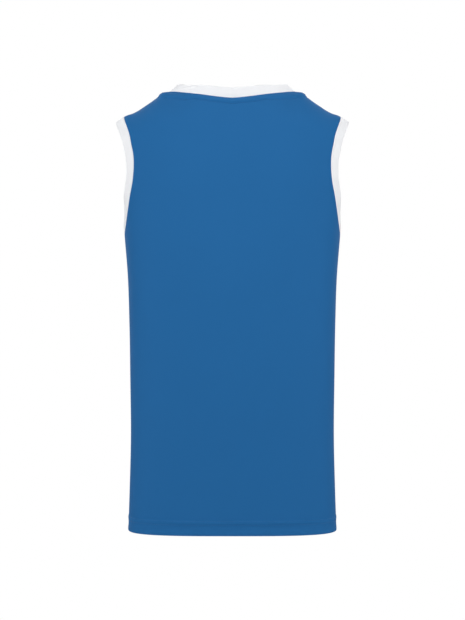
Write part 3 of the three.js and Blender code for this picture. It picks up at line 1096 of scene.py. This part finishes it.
    def neck_line(self) -> tuple[Array, Array]:
        """Follows the stitches that hold the neck's allowance down.

        Returns:
            The line's points and outward directions.
        """
        share = self.from_neck / self.neck_ridge.width(self.base[..., 0])
        points, normals = [], []
        for c in range(share.shape[1]):
            column = share[::-1, c]
            beyond = int(np.argmax(column >= 1.0))
            if beyond == 0:
                continue
            part = (1.0 - column[beyond - 1]) / (column[beyond] - column[beyond - 1])
            near, far = -beyond, -beyond - 1
            points.append(lerp(self.outer[near, c], self.outer[far, c], part))
            normals.append(unit(lerp(self.normals[near, c], self.normals[far, c], part)))
        return np.array(points), np.array(normals)


@dataclass
class Guide:
    """A line that stitches follow: its points, the directions that they stand out in, and its kind."""

    points: Array
    normals: Array
    closed: bool


@dataclass
class SeamLine(Guide):
    """A seam, with the rough directions along the cloth to the side that something is sewn to it on."""

    towards: Array

    def beside(self) -> tuple[Array, Array]:
        """Directions square to the seam.

        Returns:
            Those along the cloth away from the seam, and those straight out of the cloth.
        """
        if self.closed:
            tangents = unit(np.roll(self.points, -1, axis=0) - np.roll(self.points, 1, axis=0))
        else:
            tangents = unit(np.gradient(self.points, axis=0))
        onward = unit(np.cross(tangents, self.normals))
        if np.einsum("ij,ij->", onward, self.towards) < 0:
            onward = -onward
        out = unit(np.cross(onward, tangents))
        out *= np.sign(np.einsum("ij,ij->i", out, self.normals))[:, None]
        return onward, out


@dataclass
class SeamAllowance:
    """The cut edges inside a seam: a thin strip that lies to one side under the cloth, overlocked."""

    name: str
    lines: list[SeamLine]
    slot: Slot = Slot.CLOTH
    width: float = 0.0065
    lean: float = -5.0
    thickness: float = 0.0011
    sunk: float = 0.0010
    past_seam: float = 0.0003
    stitched_at: float = 0.6
    fold_faces: int = 5

    def section(self) -> Array:
        """Draws the strip's section.

        Returns:
            Rows of distance from the seam and height.
        """
        radius = self.thickness / 2
        flat = np.array([-self.past_seam, self.width / 2, self.width - radius])
        turns = half_turn(self.fold_faces)
        face = np.stack([flat, np.full_like(flat, -self.sunk)], axis=-1)
        drop = radius * (np.cos(turns) - 1)
        fold = np.stack([flat[-1] + radius * np.sin(turns), drop - self.sunk], axis=-1)
        return np.concatenate([face, fold, face[::-1] - np.array([0.0, self.thickness])])

    def leaning(self, line: SeamLine) -> tuple[Array, Array]:
        """Turns a seam's directions a little into the garment.

        Args:
            line: the seam.

        Returns:
            The directions across the strip and out of it.
        """
        onward, out = line.beside()
        turn = math.radians(self.lean)
        return onward * math.cos(turn) + out * math.sin(turn), out * math.cos(turn) - onward * math.sin(turn)

    def build(self, material: bpy.types.Material) -> bpy.types.Object:
        """Sweeps the strip along every seam.

        Args:
            material: the knit.

        Returns:
            The strips as one piece.
        """
        section = self.section()
        sides = len(section)
        start_cap = cap_faces(sides)
        points, faces, places = [], [], []
        for line in self.lines:
            onward, out = self.leaning(line)
            strip = line.points[:, None] + onward[:, None] * section[:, :1] + out[:, None] * section[:, 1:]
            rows = len(strip)
            walls = grid_faces(rows, sides, close_rows=line.closed, close_columns=True)
            if not line.closed:
                end_cap = start_cap[:, ::-1] + (rows - 1) * sides
                walls = np.concatenate([walls, start_cap, end_cap])
            strip = strip.reshape(-1, 3)
            faces.append(facing_out(strip, walls) + sum(len(p) for p in points))
            points.append(strip)
            along = np.repeat(lengths_along(line.points), sides)
            places.append(np.stack([along, np.tile(section[:, 0], rows)], axis=-1))
        parts = [np.concatenate(part) for part in (points, faces, places)]
        piece = mesh_piece(self.name, *parts)
        piece.data.materials.append(material)
        wear(piece)
        return piece

    def overlock_guides(self) -> list[Guide]:
        """Lays the overlock's lines on the strips' inner faces.

        Returns:
            One line for each strip.
        """
        guides = []
        for line in self.lines:
            onward, out = self.leaning(line)
            inner = onward * self.width * self.stitched_at - out * (self.sunk + self.thickness)
            guides.append(Guide(line.points + inner, -out, line.closed))
        return guides


class PieceNodes:
    """Geometry Nodes with named inputs, whose result a piece keeps as its own plain mesh."""

    def __init__(self, name: str, **kinds: str) -> None:
        """Starts the tree and keeps its input sockets by name.

        Args:
            name: the tree's name.
            kinds: the kind of each input, by the input's name.
        """
        self.tree = bpy.data.node_groups.new(name, "GeometryNodeTree")
        face = self.tree.interface
        face.new_socket("Geometry", in_out="INPUT", socket_type="NodeSocketGeometry")
        self.sockets = {
            label: face.new_socket(label, in_out="INPUT", socket_type=f"NodeSocket{kind}").identifier
            for label, kind in {**kinds, "Material": "Material"}.items()
        }
        face.new_socket("Geometry", in_out="OUTPUT", socket_type="NodeSocketGeometry")
        self.web = NodeWeb(self.tree)
        self.given = self.web.add("NodeGroupInput").outputs

    def attribute(self, name: str, kind: str = "FLOAT") -> bpy.types.NodeSocket:
        """Returns the value of a piece's own attribute."""
        node = self.web.add("GeometryNodeInputNamedAttribute", {"Name": name}, data_type=kind)
        return node.outputs["Attribute"]

    def end(self, geometry: bpy.types.NodeSocket) -> None:
        """Ends the tree: makes its instances real and gives the whole its material.

        Args:
            geometry: what the tree has made.
        """
        real = self.web.add("GeometryNodeRealizeInstances", {"Geometry": geometry}).outputs["Geometry"]
        inputs = {"Geometry": real, "Material": self.given["Material"]}
        dressed = self.web.add("GeometryNodeSetMaterial", inputs).outputs["Geometry"]
        self.web.add("NodeGroupOutput", {"Geometry": dressed})

    def run(self, piece: bpy.types.Object, **values: object) -> None:
        """Runs the tree on a piece and keeps the result as its mesh.

        Args:
            piece: the mesh that goes in.
            values: the tree's inputs by name.
        """
        modifier = piece.modifiers.new(self.tree.name, "NODES")
        modifier.node_group = self.tree
        for name, value in values.items():
            modifier[self.sockets[name]] = value
        settle(piece)


class RibTree(PieceNodes):
    """Nodes that raise knitted ribs out of a smooth band."""

    def __init__(self) -> None:
        """Builds the tree, which sinks the cloth between the ribs."""
        super().__init__("ribs_on_band", Relief="Float", Roundness="Float")
        web, given = self.web, self.given
        wave = web.math("COSINE", web.math("MULTIPLY", self.attribute("rib_place"), math.pi))
        crest = web.math("POWER", web.math("ABSOLUTE", wave), given["Roundness"])
        sunk = web.math("MULTIPLY", web.math("SUBTRACT", crest, 1.0), given["Relief"])
        amount = web.math("MULTIPLY", sunk, self.attribute("rib_hold"))
        normal = web.add("GeometryNodeInputNormal").outputs["Normal"]
        offset = web.add("ShaderNodeVectorMath", {0: normal, "Scale": amount}, operation="SCALE")
        inputs = {"Geometry": given["Geometry"], "Offset": offset.outputs["Vector"]}
        self.end(web.add("GeometryNodeSetPosition", inputs).outputs["Geometry"])


@dataclass(frozen=True)
class TurnKnot:
    """How far a band turns out (+) or in (-) from the cloth, in degrees, at a place across or up."""

    at: float
    degrees: float


def through_turns(knots: tuple[TurnKnot, ...]) -> SmoothCurve:
    """Returns the smooth curve through a band's turns."""
    return SmoothCurve([knot.at for knot in knots], [knot.degrees for knot in knots])


@dataclass
class RibBand:
    """A strip of white rib, folded double and sewn to the cloth's edge as one loop."""

    name: str
    node: str
    form: GarmentForm
    cut_length: float
    width: float = 0.0175
    thickness: float = 0.0022
    proud: float = 0.0001
    straight_until: float = 0.0005
    turned_from: float = 0.0025
    roll_width: float = 0.0014
    roll_depth: float = 0.0006
    rib_pitch: float = 0.0016
    rib_relief: float = 0.00022
    rib_roundness: float = 0.8
    ribs_full_from: float = 0.002
    rib_steps: int = 5
    face_steps: int = 8
    face_crowding: float = -0.6
    bend_steps: int = 200
    fold_faces: int = 6
    samples: int = 1200

    def dense_ring(self) -> tuple[Array, Array]:
        """Returns the edge's points and outward directions all round, closely spaced."""
        raise NotImplementedError

    def turns(self, points: Array) -> Array:
        """Returns how far the band turns out of the cloth at each point, in degrees."""
        raise NotImplementedError

    def join(self, behind: tuple[Array, Array], before: tuple[Array, Array]) -> tuple[Array, Array]:
        """One ring from an edge of the back and the same edge of the front.

        Args:
            behind: points and directions on the back, in the ring's order.
            before: points and directions on the front, from the same start to the same end.

        Returns:
            The ring's points and directions.
        """
        points = np.concatenate([behind[0], before[0][-2:0:-1]])
        normals = np.concatenate([behind[1], before[1][-2:0:-1]])
        for seam, other in ((0, 0), (len(behind[0]) - 1, -1)):
            points[seam] = (behind[0][seam] + before[0][other]) / 2
            normals[seam] = unit(behind[1][seam] + before[1][other])
        return points, normals

    def ring(self) -> tuple[Array, Array, int]:
        """Walks round the edge at even steps, a few for each rib.

        Returns:
            The edge's points and outward directions there, and how many ribs they carry.
        """
        points, normals = self.dense_ring()
        closed = np.concatenate([points, points[:1]])
        closed_normals = np.concatenate([normals, normals[:1]])
        lengths = lengths_along(closed)
        ribs = round(lengths[-1] / self.rib_pitch)
        goals = np.linspace(0.0, lengths[-1], ribs * self.rib_steps, endpoint=False)
        even = [np.interp(goals, lengths, closed[:, k]) for k in range(3)]
        even_normals = [np.interp(goals, lengths, closed_normals[:, k]) for k in range(3)]
        self.length = float(lengths[-1])
        return np.stack(even, axis=-1), unit(np.stack(even_normals, axis=-1)), ribs

    def panel_side(self) -> SeamLine:
        """Finds the band's seam on the panels.

        Returns:
            The seam, facing away from the band.
        """
        points, normals, _ = self.ring()
        points, normals = points[:: 2 * self.rib_steps], normals[:: 2 * self.rib_steps]
        return SeamLine(points, normals, True, points - points.mean(axis=0))

    def section(self) -> Array:
        """Draws the folded section.

        Returns:
            Rows of distance along, height over the middle and how much the ribs are raised.
        """
        radius = self.thickness / 2
        flat = lerp(0.0, self.width - radius, crowded(self.face_steps, self.face_crowding))
        roll = self.roll_depth * np.clip(1 - flat / self.roll_width, 0.0, 1.0) ** 2
        hold = smoothstep(flat, 0.0, self.ribs_full_from)
        face = np.stack([flat, radius - roll, hold], axis=-1)
        turns = half_turn(self.fold_faces)
        fold = np.stack(
            [self.width - radius + radius * np.sin(turns), radius * np.cos(turns), np.ones_like(turns)],
            axis=-1,
        )
        back = face[::-1] * np.array([1.0, -1.0, 1.0])
        return np.concatenate([face, fold, back])

    def sweep(self, points: Array, normals: Array, section: Array) -> Array:
        """Carries the folded section round the edge, bent by the band's turns.

        Args:
            points: the edge's points.
            normals: the outward directions there.
            section: rows of distance along and height over the middle.

        Returns:
            The band's points, one row for each point of the edge.
        """
        onward, out = SeamLine(points, normals, True, points.mean(axis=0) - points).beside()
        turn = np.radians(self.turns(points))
        along = section[:, 0]
        fine = np.linspace(0.0, self.width, self.bend_steps)
        bend = smoothstep(fine, self.straight_until, self.turned_from)
        angle = turn[:, None] * bend[None, :]
        step = fine[1] - fine[0]
        forward = np.cumsum(np.cos(angle), axis=1) * step
        sideways = np.cumsum(np.sin(angle), axis=1) * step
        at = np.clip((along / step).astype(int), 0, len(fine) - 1)
        bent = angle[:, at]
        middle = self.proud - self.thickness / 2
        lift = section[:, 1] + middle
        ahead = forward[:, at] + (along - fine[at]) - np.sin(bent) * lift
        above = sideways[:, at] + np.cos(bent) * lift
        return points[:, None] + onward[:, None] * ahead[..., None] + out[:, None] * above[..., None]

    def build(self, ribs_tree: RibTree, material: bpy.types.Material) -> bpy.types.Object:
        """Sweeps the folded section round the edge and raises its ribs.

        Args:
            ribs_tree: the nodes that raise the ribs.
            material: the white rib.

        Returns:
            The band.
        """
        points, normals, ribs = self.ring()
        section = self.section()
        along = section[:, 0]
        spots = self.sweep(points, normals, section)
        rings, sides = spots.shape[:2]
        around = np.arange(rings) * self.length / rings
        down = np.cumsum(np.concatenate([[0.0], np.hypot(np.diff(along), np.diff(section[:, 1]))]))
        uv = np.stack(np.meshgrid(around, down, indexing="ij"), axis=-1).reshape(-1, 2)
        flat_points = spots.reshape(-1, 3)
        faces = facing_out(flat_points, grid_faces(rings, sides, close_rows=True, close_columns=True))
        piece = mesh_piece(self.name, flat_points, faces, uv)
        mark_points(piece.data, "rib_place", np.repeat(np.arange(rings) / self.rib_steps, sides))
        mark_points(piece.data, "rib_hold", np.tile(section[:, 2], rings))
        ribs_tree.run(
            piece, Relief=self.rib_relief, Roundness=self.rib_roundness, Material=material
        )
        LOG.info("%s: %d ribs round %.3f m", self.name, ribs, self.length)
        wear(piece)
        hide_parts(self.node)
        return piece


@dataclass
class NeckBand(RibBand):
    """The band round the neck, which stands up at the middle of the back and lies flatter in front."""

    width: float = 0.0185
    front_turn: float = 3
    back_turns: tuple[TurnKnot, ...] = (
        TurnKnot(0.000, 27),
        TurnKnot(0.030, 22),
        TurnKnot(0.060, 17),
        TurnKnot(0.085, 7),
        TurnKnot(0.110, 20),
    )

    def dense_ring(self) -> tuple[Array, Array]:
        """Goes round the neckline, from the right shoulder behind.

        Returns:
            The neckline's points and outward directions.
        """
        edges = {}
        for side in Side:
            angle, z = self.form.neckline(side, np.linspace(0.0, 1.0, self.samples))
            points = self.form.points(side, angle, z)
            normals = self.form.outward(side, angle, z)
            flip = Hand.RIGHT.flip
            edges[side] = (
                np.concatenate([(points * flip)[:0:-1], points]),
                np.concatenate([(normals * flip)[:0:-1], normals]),
            )
        return self.join(edges[Side.BACK], edges[Side.FRONT])

    def turns(self, points: Array) -> Array:
        """Reads the band's turns, by the place across behind and by the level in front.

        Args:
            points: points of the neckline.

        Returns:
            How far the band turns out at each, in degrees.
        """
        low = np.clip(-points[:, 2] / self.form.front_neck_drop, 0.0, 1.0)
        front = lerp(self.back_turns[-1].degrees, self.front_turn, low)
        behind = through_turns(self.back_turns)(np.abs(points[:, 0]))
        return np.where(points[:, 1] < 0, front, behind)


@dataclass
class ArmholeBand(RibBand):
    """The band round an armhole."""

    hand: Hand = Hand.LEFT
    level_turns: tuple[TurnKnot, ...] = (
        TurnKnot(-0.044, -10),
        TurnKnot(-0.065, -3),
        TurnKnot(-0.095, 4),
        TurnKnot(-0.130, 2),
        TurnKnot(-0.165, 2),
        TurnKnot(-0.195, 4),
        TurnKnot(-0.217, -4),
        TurnKnot(-0.235, -4),
        TurnKnot(-0.255, 2),
    )

    def dense_ring(self) -> tuple[Array, Array]:
        """Goes round the armhole, up behind and down in front.

        Returns:
            The armhole's points and outward directions.
        """
        edges = {}
        for side in Side:
            angle, z = self.form.armhole(side, np.linspace(0.0, 1.0, self.samples))
            points = self.form.points(side, angle, z) * self.hand.flip
            edges[side] = (points, self.form.outward(side, angle, z) * self.hand.flip)
        return self.join(edges[Side.BACK], edges[Side.FRONT])

    def turns(self, points: Array) -> Array:
        """Returns the band's turns, by the level."""
        return through_turns(self.level_turns)(points[:, 2])


class StitchTree(PieceNodes):
    """Nodes that lay arched thread stitches at even steps along a guide line."""

    ARCH_STEPS = 5
    THREAD_SIDES = 6

    def __init__(self) -> None:
        """Builds the tree: a stitch, and the places and turns that it is laid at."""
        inputs = ("Step", "Length", "Thread", "Arch", "Slant", "Wander")
        super().__init__("stitches_along_line", **dict.fromkeys(inputs, "Float"), Seed="Int")
        web = self.web
        curve = web.add("GeometryNodeMeshToCurve", {"Mesh": self.given["Geometry"]}).outputs["Curve"]
        lengths = {"Curve": curve, "Length": self.given["Step"]}
        spread = web.add("GeometryNodeCurveToPoints", lengths, mode="LENGTH").outputs
        facing = self.facing(spread["Tangent"])
        placed = {"Points": spread["Points"], "Instance": self.stitch(), "Rotation": facing}
        self.end(web.add("GeometryNodeInstanceOnPoints", placed).outputs["Instances"])

    def facing(self, tangent: bpy.types.NodeSocket) -> bpy.types.NodeSocket:
        """Turns the stitches along the line and off the cloth, slanting every other one the other way.

        Args:
            tangent: the line's direction.

        Returns:
            Each stitch's rotation.
        """
        web, given = self.web, self.given
        lie = self.attribute("lie", "FLOAT_VECTOR")
        ahead = web.add("FunctionNodeAlignRotationToVector", {"Vector": tangent}, axis="X")
        along = {"Rotation": ahead.outputs["Rotation"], "Vector": lie}
        upright = web.add("FunctionNodeAlignRotationToVector", along, axis="Z", pivot_axis="X")
        index = web.add("GeometryNodeInputIndex").outputs["Index"]
        odd = web.math("MODULO", index, 2.0)
        swing = web.math("MULTIPLY", web.math("MULTIPLY_ADD", odd, 2.0, -1.0), given["Slant"])
        chance = {"Min": -1.0, "Max": 1.0, "ID": index, "Seed": given["Seed"]}
        drift = web.add("FunctionNodeRandomValue", chance, data_type="FLOAT").outputs
        drift_value = next(socket for socket in drift if socket.enabled)
        turned = web.math("MULTIPLY_ADD", drift_value, given["Wander"], swing)
        euler = web.add("ShaderNodeCombineXYZ", {"Z": turned}).outputs["Vector"]
        spin = web.add("FunctionNodeEulerToRotation", {"Euler": euler}).outputs["Rotation"]
        both = {"Rotation": upright.outputs["Rotation"], "Rotate By": spin}
        return web.add("FunctionNodeRotateRotation", both, rotation_space="LOCAL").outputs["Rotation"]

    def stitch(self) -> bpy.types.NodeSocket:
        """Makes one stitch, an arch of thread whose ends lie under the cloth.

        Returns:
            The stitch's mesh.
        """
        web, given = self.web, self.given
        half = web.math("MULTIPLY", given["Length"], 0.5)
        depth = web.math("MULTIPLY", given["Thread"], -1.0)
        start = web.add("ShaderNodeCombineXYZ", {"X": web.math("MULTIPLY", half, -1.0), "Z": depth})
        crown = web.add("ShaderNodeCombineXYZ", {"Z": given["Arch"]})
        end = web.add("ShaderNodeCombineXYZ", {"X": half, "Z": depth})
        bow = {
            "Resolution": self.ARCH_STEPS,
            "Start": start.outputs["Vector"],
            "Middle": crown.outputs["Vector"],
            "End": end.outputs["Vector"],
        }
        arch = web.add("GeometryNodeCurveQuadraticBezier", bow).outputs["Curve"]
        round_thread = {"Resolution": self.THREAD_SIDES, "Radius": given["Thread"]}
        ply = web.add("GeometryNodeCurvePrimitiveCircle", round_thread).outputs["Curve"]
        swept = {"Curve": arch, "Profile Curve": ply, "Fill Caps": True}
        return web.add("GeometryNodeCurveToMesh", swept).outputs["Mesh"]


@dataclass
class StitchRow:
    """Rows of stitches on the cloth's face."""

    name: str
    step: float = 0.0030
    length: float = 0.0026
    thread: float = 0.00016
    arch: float = 0.00045
    slant: float = 0.0
    wander: float = 0.04
    seed: int = 7

    def build(
        self, guides: list[Guide], tree: StitchTree, material: bpy.types.Material
    ) -> bpy.types.Object:
        """Lays the stitches.

        Args:
            guides: the lines that they follow.
            tree: the nodes that lay stitches.
            material: the thread.

        Returns:
            The stitches as one piece.
        """
        points = np.concatenate([guide.points for guide in guides])
        normals = np.concatenate([guide.normals for guide in guides])
        edges = []
        start = 0
        for guide in guides:
            numbers = start + np.arange(len(guide.points))
            joins = np.stack([numbers, np.roll(numbers, -1)], axis=-1)
            edges += joins[: None if guide.closed else -1].tolist()
            start += len(numbers)
        mesh = bpy.data.meshes.new(self.name)
        mesh.from_pydata(points.tolist(), edges, [])
        mark_points(mesh, "lie", normals)
        piece = add_object(self.name, mesh)
        tree.run(
            piece,
            Step=self.step,
            Length=self.length,
            Thread=self.thread,
            Arch=self.arch,
            Slant=self.slant,
            Wander=self.wander,
            Seed=self.seed,
            Material=material,
        )
        piece.data.shade_smooth()
        wear(piece)
        return piece


@dataclass(frozen=True)
class SoftBox:
    """A soft box: where it stands, the point that it faces, its width and height, its power in watts."""

    name: str
    place: Place
    target: Place
    size: tuple[float, float]
    power: float

    def on(self, hand: Hand) -> "SoftBox":
        """Moves the box to one of the wearer's sides.

        Args:
            hand: the side.

        Returns:
            The same box there.
        """
        across, along, up = self.place
        name = f"{self.name}_{hand.name.lower()}"
        return SoftBox(name, (hand.value * across, along, up), self.target, self.size, self.power)

    def set_up(self) -> None:
        """Adds the box, which the camera doesn't see, to the scene."""
        light = bpy.data.lights.new(self.name, "AREA")
        light.shape = "RECTANGLE"
        light.size, light.size_y = self.size
        light.energy = self.power
        box = add_object(self.name, light)
        box.location = self.place
        towards = Vector(self.target) - Vector(self.place)
        box.rotation_euler = towards.to_track_quat("-Z", "Y").to_euler()
        box.visible_camera = False


@dataclass
class Studio:
    """A white studio: a pale floor, soft boxes and a camera behind the jersey."""

    floor_level: float = -1.45
    floor_radius: float = 2.8
    floor_rings: int = 12
    floor_sides: int = 64
    floor_colour: Tint = (0.86, 0.86, 0.87)
    fades_from: float = 0.35
    fades_to: float = 0.98
    camera_distance: float = 3.2
    camera_across: float = -0.0002
    camera_level: float = -0.3805
    camera_reach: tuple[float, float] = (0.05, 50.0)
    focal_pixels: float = 1834.0
    picture_height: float = 620.0
    sensor: float = 36.0
    ambient: float = 0.13
    middle_boxes: tuple[SoftBox, ...] = (
        SoftBox("top_box", (0.0, 0.2, 1.3), (0.0, 0.0, -0.20), (1.6, 1.0), 11.5),
        SoftBox("back_box", (0.0, 1.5, 0.35), (0.0, 0.0, -0.10), (1.0, 0.8), 9.4),
        SoftBox("low_back_box", (0.0, 1.25, -0.33), (0.0, 0.0, -0.33), (0.7, 0.5), 1.4),
    )
    paired_boxes: tuple[SoftBox, ...] = (
        SoftBox("side_box", (1.7, 0.7, -0.2), (0.0, 0.0, -0.35), (0.9, 1.2), 12.6),
        SoftBox("front_box", (1.2, -2.2, 0.6), (0.0, 0.0, -0.30), (1.2, 1.5), 26.0),
    )

    def floor(self) -> None:
        """Lays the round floor."""
        sides = self.floor_sides
        radii = np.linspace(0.0, self.floor_radius, self.floor_rings + 1)[1:]
        turns = np.arange(sides) * math.tau / sides
        points = [(0.0, 0.0, self.floor_level)]
        points += [(r * math.cos(t), r * math.sin(t), self.floor_level) for r in radii for t in turns]
        faces = [(0, 1 + k, 1 + (k + 1) % sides) for k in range(sides)]
        for r in range(self.floor_rings - 1):
            for k in range(sides):
                a, b = 1 + r * sides + k, 1 + r * sides + (k + 1) % sides
                faces.append((a, a + sides, b + sides, b))
        mesh = bpy.data.meshes.new("studio_floor")
        mesh.from_pydata(points, [], faces)
        mesh.materials.append(self.floor_finish())
        add_object("studio_floor", mesh)

    def floor_finish(self) -> bpy.types.Material:
        """Makes the floor's finish, pale in the middle and fading to white at the rim.

        Returns:
            Its material.
        """
        material = bpy.data.materials.new("pale_floor")
        web = empty_web(material)
        place = web.add("ShaderNodeTexCoord").outputs["Object"]
        flat = web.add("ShaderNodeVectorMath", {0: place, 1: (1.0, 1.0, 0.0)}, operation="MULTIPLY")
        reach = web.add("ShaderNodeVectorMath", {0: flat.outputs["Vector"]}, operation="LENGTH")
        span = {
            "Value": reach.outputs["Value"],
            "From Min": self.fades_from * self.floor_radius,
            "From Max": self.fades_to * self.floor_radius,
        }
        fade = web.add("ShaderNodeMapRange", span, interpolation_type="SMOOTHSTEP").outputs["Result"]
        pale = web.add("ShaderNodeBsdfDiffuse", {"Color": (*self.floor_colour, 1.0)})
        glow = web.add("ShaderNodeEmission", {"Color": WHITE, "Strength": 1.0})
        blend = {0: fade, 1: pale.outputs["BSDF"], 2: glow.outputs["Emission"]}
        mixed = web.add("ShaderNodeMixShader", blend)
        web.add("ShaderNodeOutputMaterial", {"Surface": mixed.outputs["Shader"]})
        return material

    def lights(self) -> None:
        """Sets up the soft boxes."""
        for box in self.middle_boxes:
            box.set_up()
        for hand in Hand:
            for box in self.paired_boxes:
                box.on(hand).set_up()

    def room(self) -> None:
        """Sets up the room's even light, behind which the camera sees white."""
        world = bpy.data.worlds.new("studio")
        bpy.context.scene.world = world
        web = empty_web(world)
        seen = web.add("ShaderNodeLightPath").outputs["Is Camera Ray"]
        even = web.add("ShaderNodeBackground", {"Color": WHITE, "Strength": self.ambient})
        white = web.add("ShaderNodeBackground", {"Color": WHITE, "Strength": 1.0})
        blend = {0: seen, 1: even.outputs["Background"], 2: white.outputs["Background"]}
        mixed = web.add("ShaderNodeMixShader", blend)
        web.add("ShaderNodeOutputWorld", {"Surface": mixed.outputs["Shader"]})

    def camera(self) -> None:
        """Sets up the camera, level with the middle of the picture."""
        lens = bpy.data.cameras.new("camera")
        lens.sensor_width = self.sensor
        lens.lens = self.focal_pixels * self.sensor / self.picture_height
        lens.clip_start, lens.clip_end = self.camera_reach
        camera = add_object("camera", lens)
        camera.location = (self.camera_across, self.camera_distance, self.camera_level)
        camera.rotation_euler = (math.pi / 2, 0.0, math.pi)
        bpy.context.scene.camera = camera

    def build(self) -> None:
        """Sets up the whole studio."""
        self.floor()
        self.lights()
        self.room()
        self.camera()
        settings = bpy.context.scene.view_settings
        settings.view_transform = "Standard"
        settings.look = "None"


@dataclass
class Jersey:
    """The whole jersey."""

    form: GarmentForm
    back_area: float = 0.361
    front_area: float = 0.331
    neck_cut: float = 0.72
    armhole_cut: float = 0.60
    neck_allowance: float = 0.0085
    side_seam_from: float = 0.0262
    side_seam_points: int = 160
    shoulder_seam_points: int = 40
    overlock_step: float = 0.0022
    overlock_length: float = 0.0042
    overlock_slant: float = 1.0
    looper_height: float = 0.0215

    def build(self) -> None:
        blue, white, thread = BLUE_KNIT.build(), WHITE_RIB.build(), BLUE_THREAD.build()
        hem = HemRelief()
        ridge = NeckRidge(self.form)
        panels = [
            Panel(Side.BACK, self.form, ridge, hem, cut_area=self.back_area),
            Panel(Side.FRONT, self.form, ridge, hem, cut_area=self.front_area),
        ]
        for panel in panels:
            panel.lay_out()
            panel.build(blue)
        neck = NeckBand("neck_rib", "neck_band", self.form, self.neck_cut)
        armholes = [
            ArmholeBand(
                f"armhole_rib_{hand.name.lower()}",
                f"armhole_band_{hand.name.lower()}",
                self.form,
                self.armhole_cut,
                hand=hand,
            )
            for hand in Hand
        ]
        ribs_tree = RibTree()
        ribs = [band.build(ribs_tree, white) for band in (neck, *armholes)]
        body = SeamAllowance("body_seam_allowances", self.body_seams())
        collar = SeamAllowance(
            "neck_seam_allowance", [neck.panel_side()], Slot.RIB, width=self.neck_allowance
        )
        sleeves = SeamAllowance(
            "armhole_seam_allowances", [band.panel_side() for band in armholes], Slot.RIB
        )
        folded_in = [body.build(blue), collar.build(white), sleeves.build(white)]
        stitches = self.sew(panels, hem, [body, collar, sleeves], thread)

    def body_seams(self) -> list[SeamLine]:
        """Finds the side seams and the shoulder seams, whose allowances lie to the back.

        Returns:
            The four seams.
        """
        lowest = self.side_seam_from - self.form.body_length
        levels = np.linspace(lowest, self.form.underarm, self.side_seam_points)
        side = self.form.points(Side.BACK, np.full_like(levels, math.pi / 2), levels)
        shares = np.linspace(0.0, 1.0, self.shoulder_seam_points)
        angle, z = self.form.shoulder(Side.BACK, shares)
        shoulder = self.form.points(Side.BACK, angle, z)
        seams = []
        for hand in Hand:
            for points, out in ((side, (1.0, 0.0, 0.0)), (shoulder, (0.0, 0.0, 1.0))):
                normals = np.broadcast_to(np.array(out) * hand.flip, points.shape)
                behind = np.broadcast_to((0.0, 1.0, 0.0), points.shape)
                seams.append(SeamLine(points * hand.flip, normals, False, behind))
        return seams

    def sew(
        self,
        panels: list[Panel],
        hem: HemRelief,
        allowances: list[SeamAllowance],
        thread: bpy.types.Material,
    ) -> list[bpy.types.Object]:
        """Makes all the stitches.

        Args:
            panels: the back and the front.
            hem: the hem's face.
            allowances: the seam allowances, which are overlocked.
            thread: the thread's finish.

        Returns:
            The rows of stitches.
        """
        tree = StitchTree()
        neck = self.ring([panel.neck_line() for panel in panels])
        rows = [
            self.ring([panel.hem_line(height, inside=False) for panel in panels])
            for height in hem.stitch_heights
        ]
        loopers = self.ring([panel.hem_line(self.looper_height, inside=True) for panel in panels])
        overlock = [guide for strips in allowances for guide in strips.overlock_guides()]
        zigzag = {
            "step": self.overlock_step,
            "length": self.overlock_length,
            "slant": self.overlock_slant,
        }
        return [
            StitchRow("neck_topstitch").build([neck], tree, thread),
            StitchRow("hem_coverstitch").build(rows, tree, thread),
            StitchRow("hem_looper_threads", **zigzag).build([loopers], tree, thread),
            StitchRow("overlock_threads", **zigzag).build(overlock, tree, thread),
        ]

    @staticmethod
    def ring(lines: list[tuple[Array, Array]]) -> Guide:
        """Joins a line on the back and the same line on the front.

        Args:
            lines: the points and outward directions of both.

        Returns:
            One closed guide.
        """
        (behind, behind_out), (before, before_out) = lines
        points = np.concatenate([behind, before[::-1]])
        return Guide(points, np.concatenate([behind_out, before_out[::-1]]), closed=True)


def main() -> None:
    """Builds the jersey and its studio."""
    logging.basicConfig(level=logging.INFO, format="%(name)s: %(message)s")
    Jersey(GarmentForm()).build()
    Studio().build()


if __name__ == "__main__":
    main()
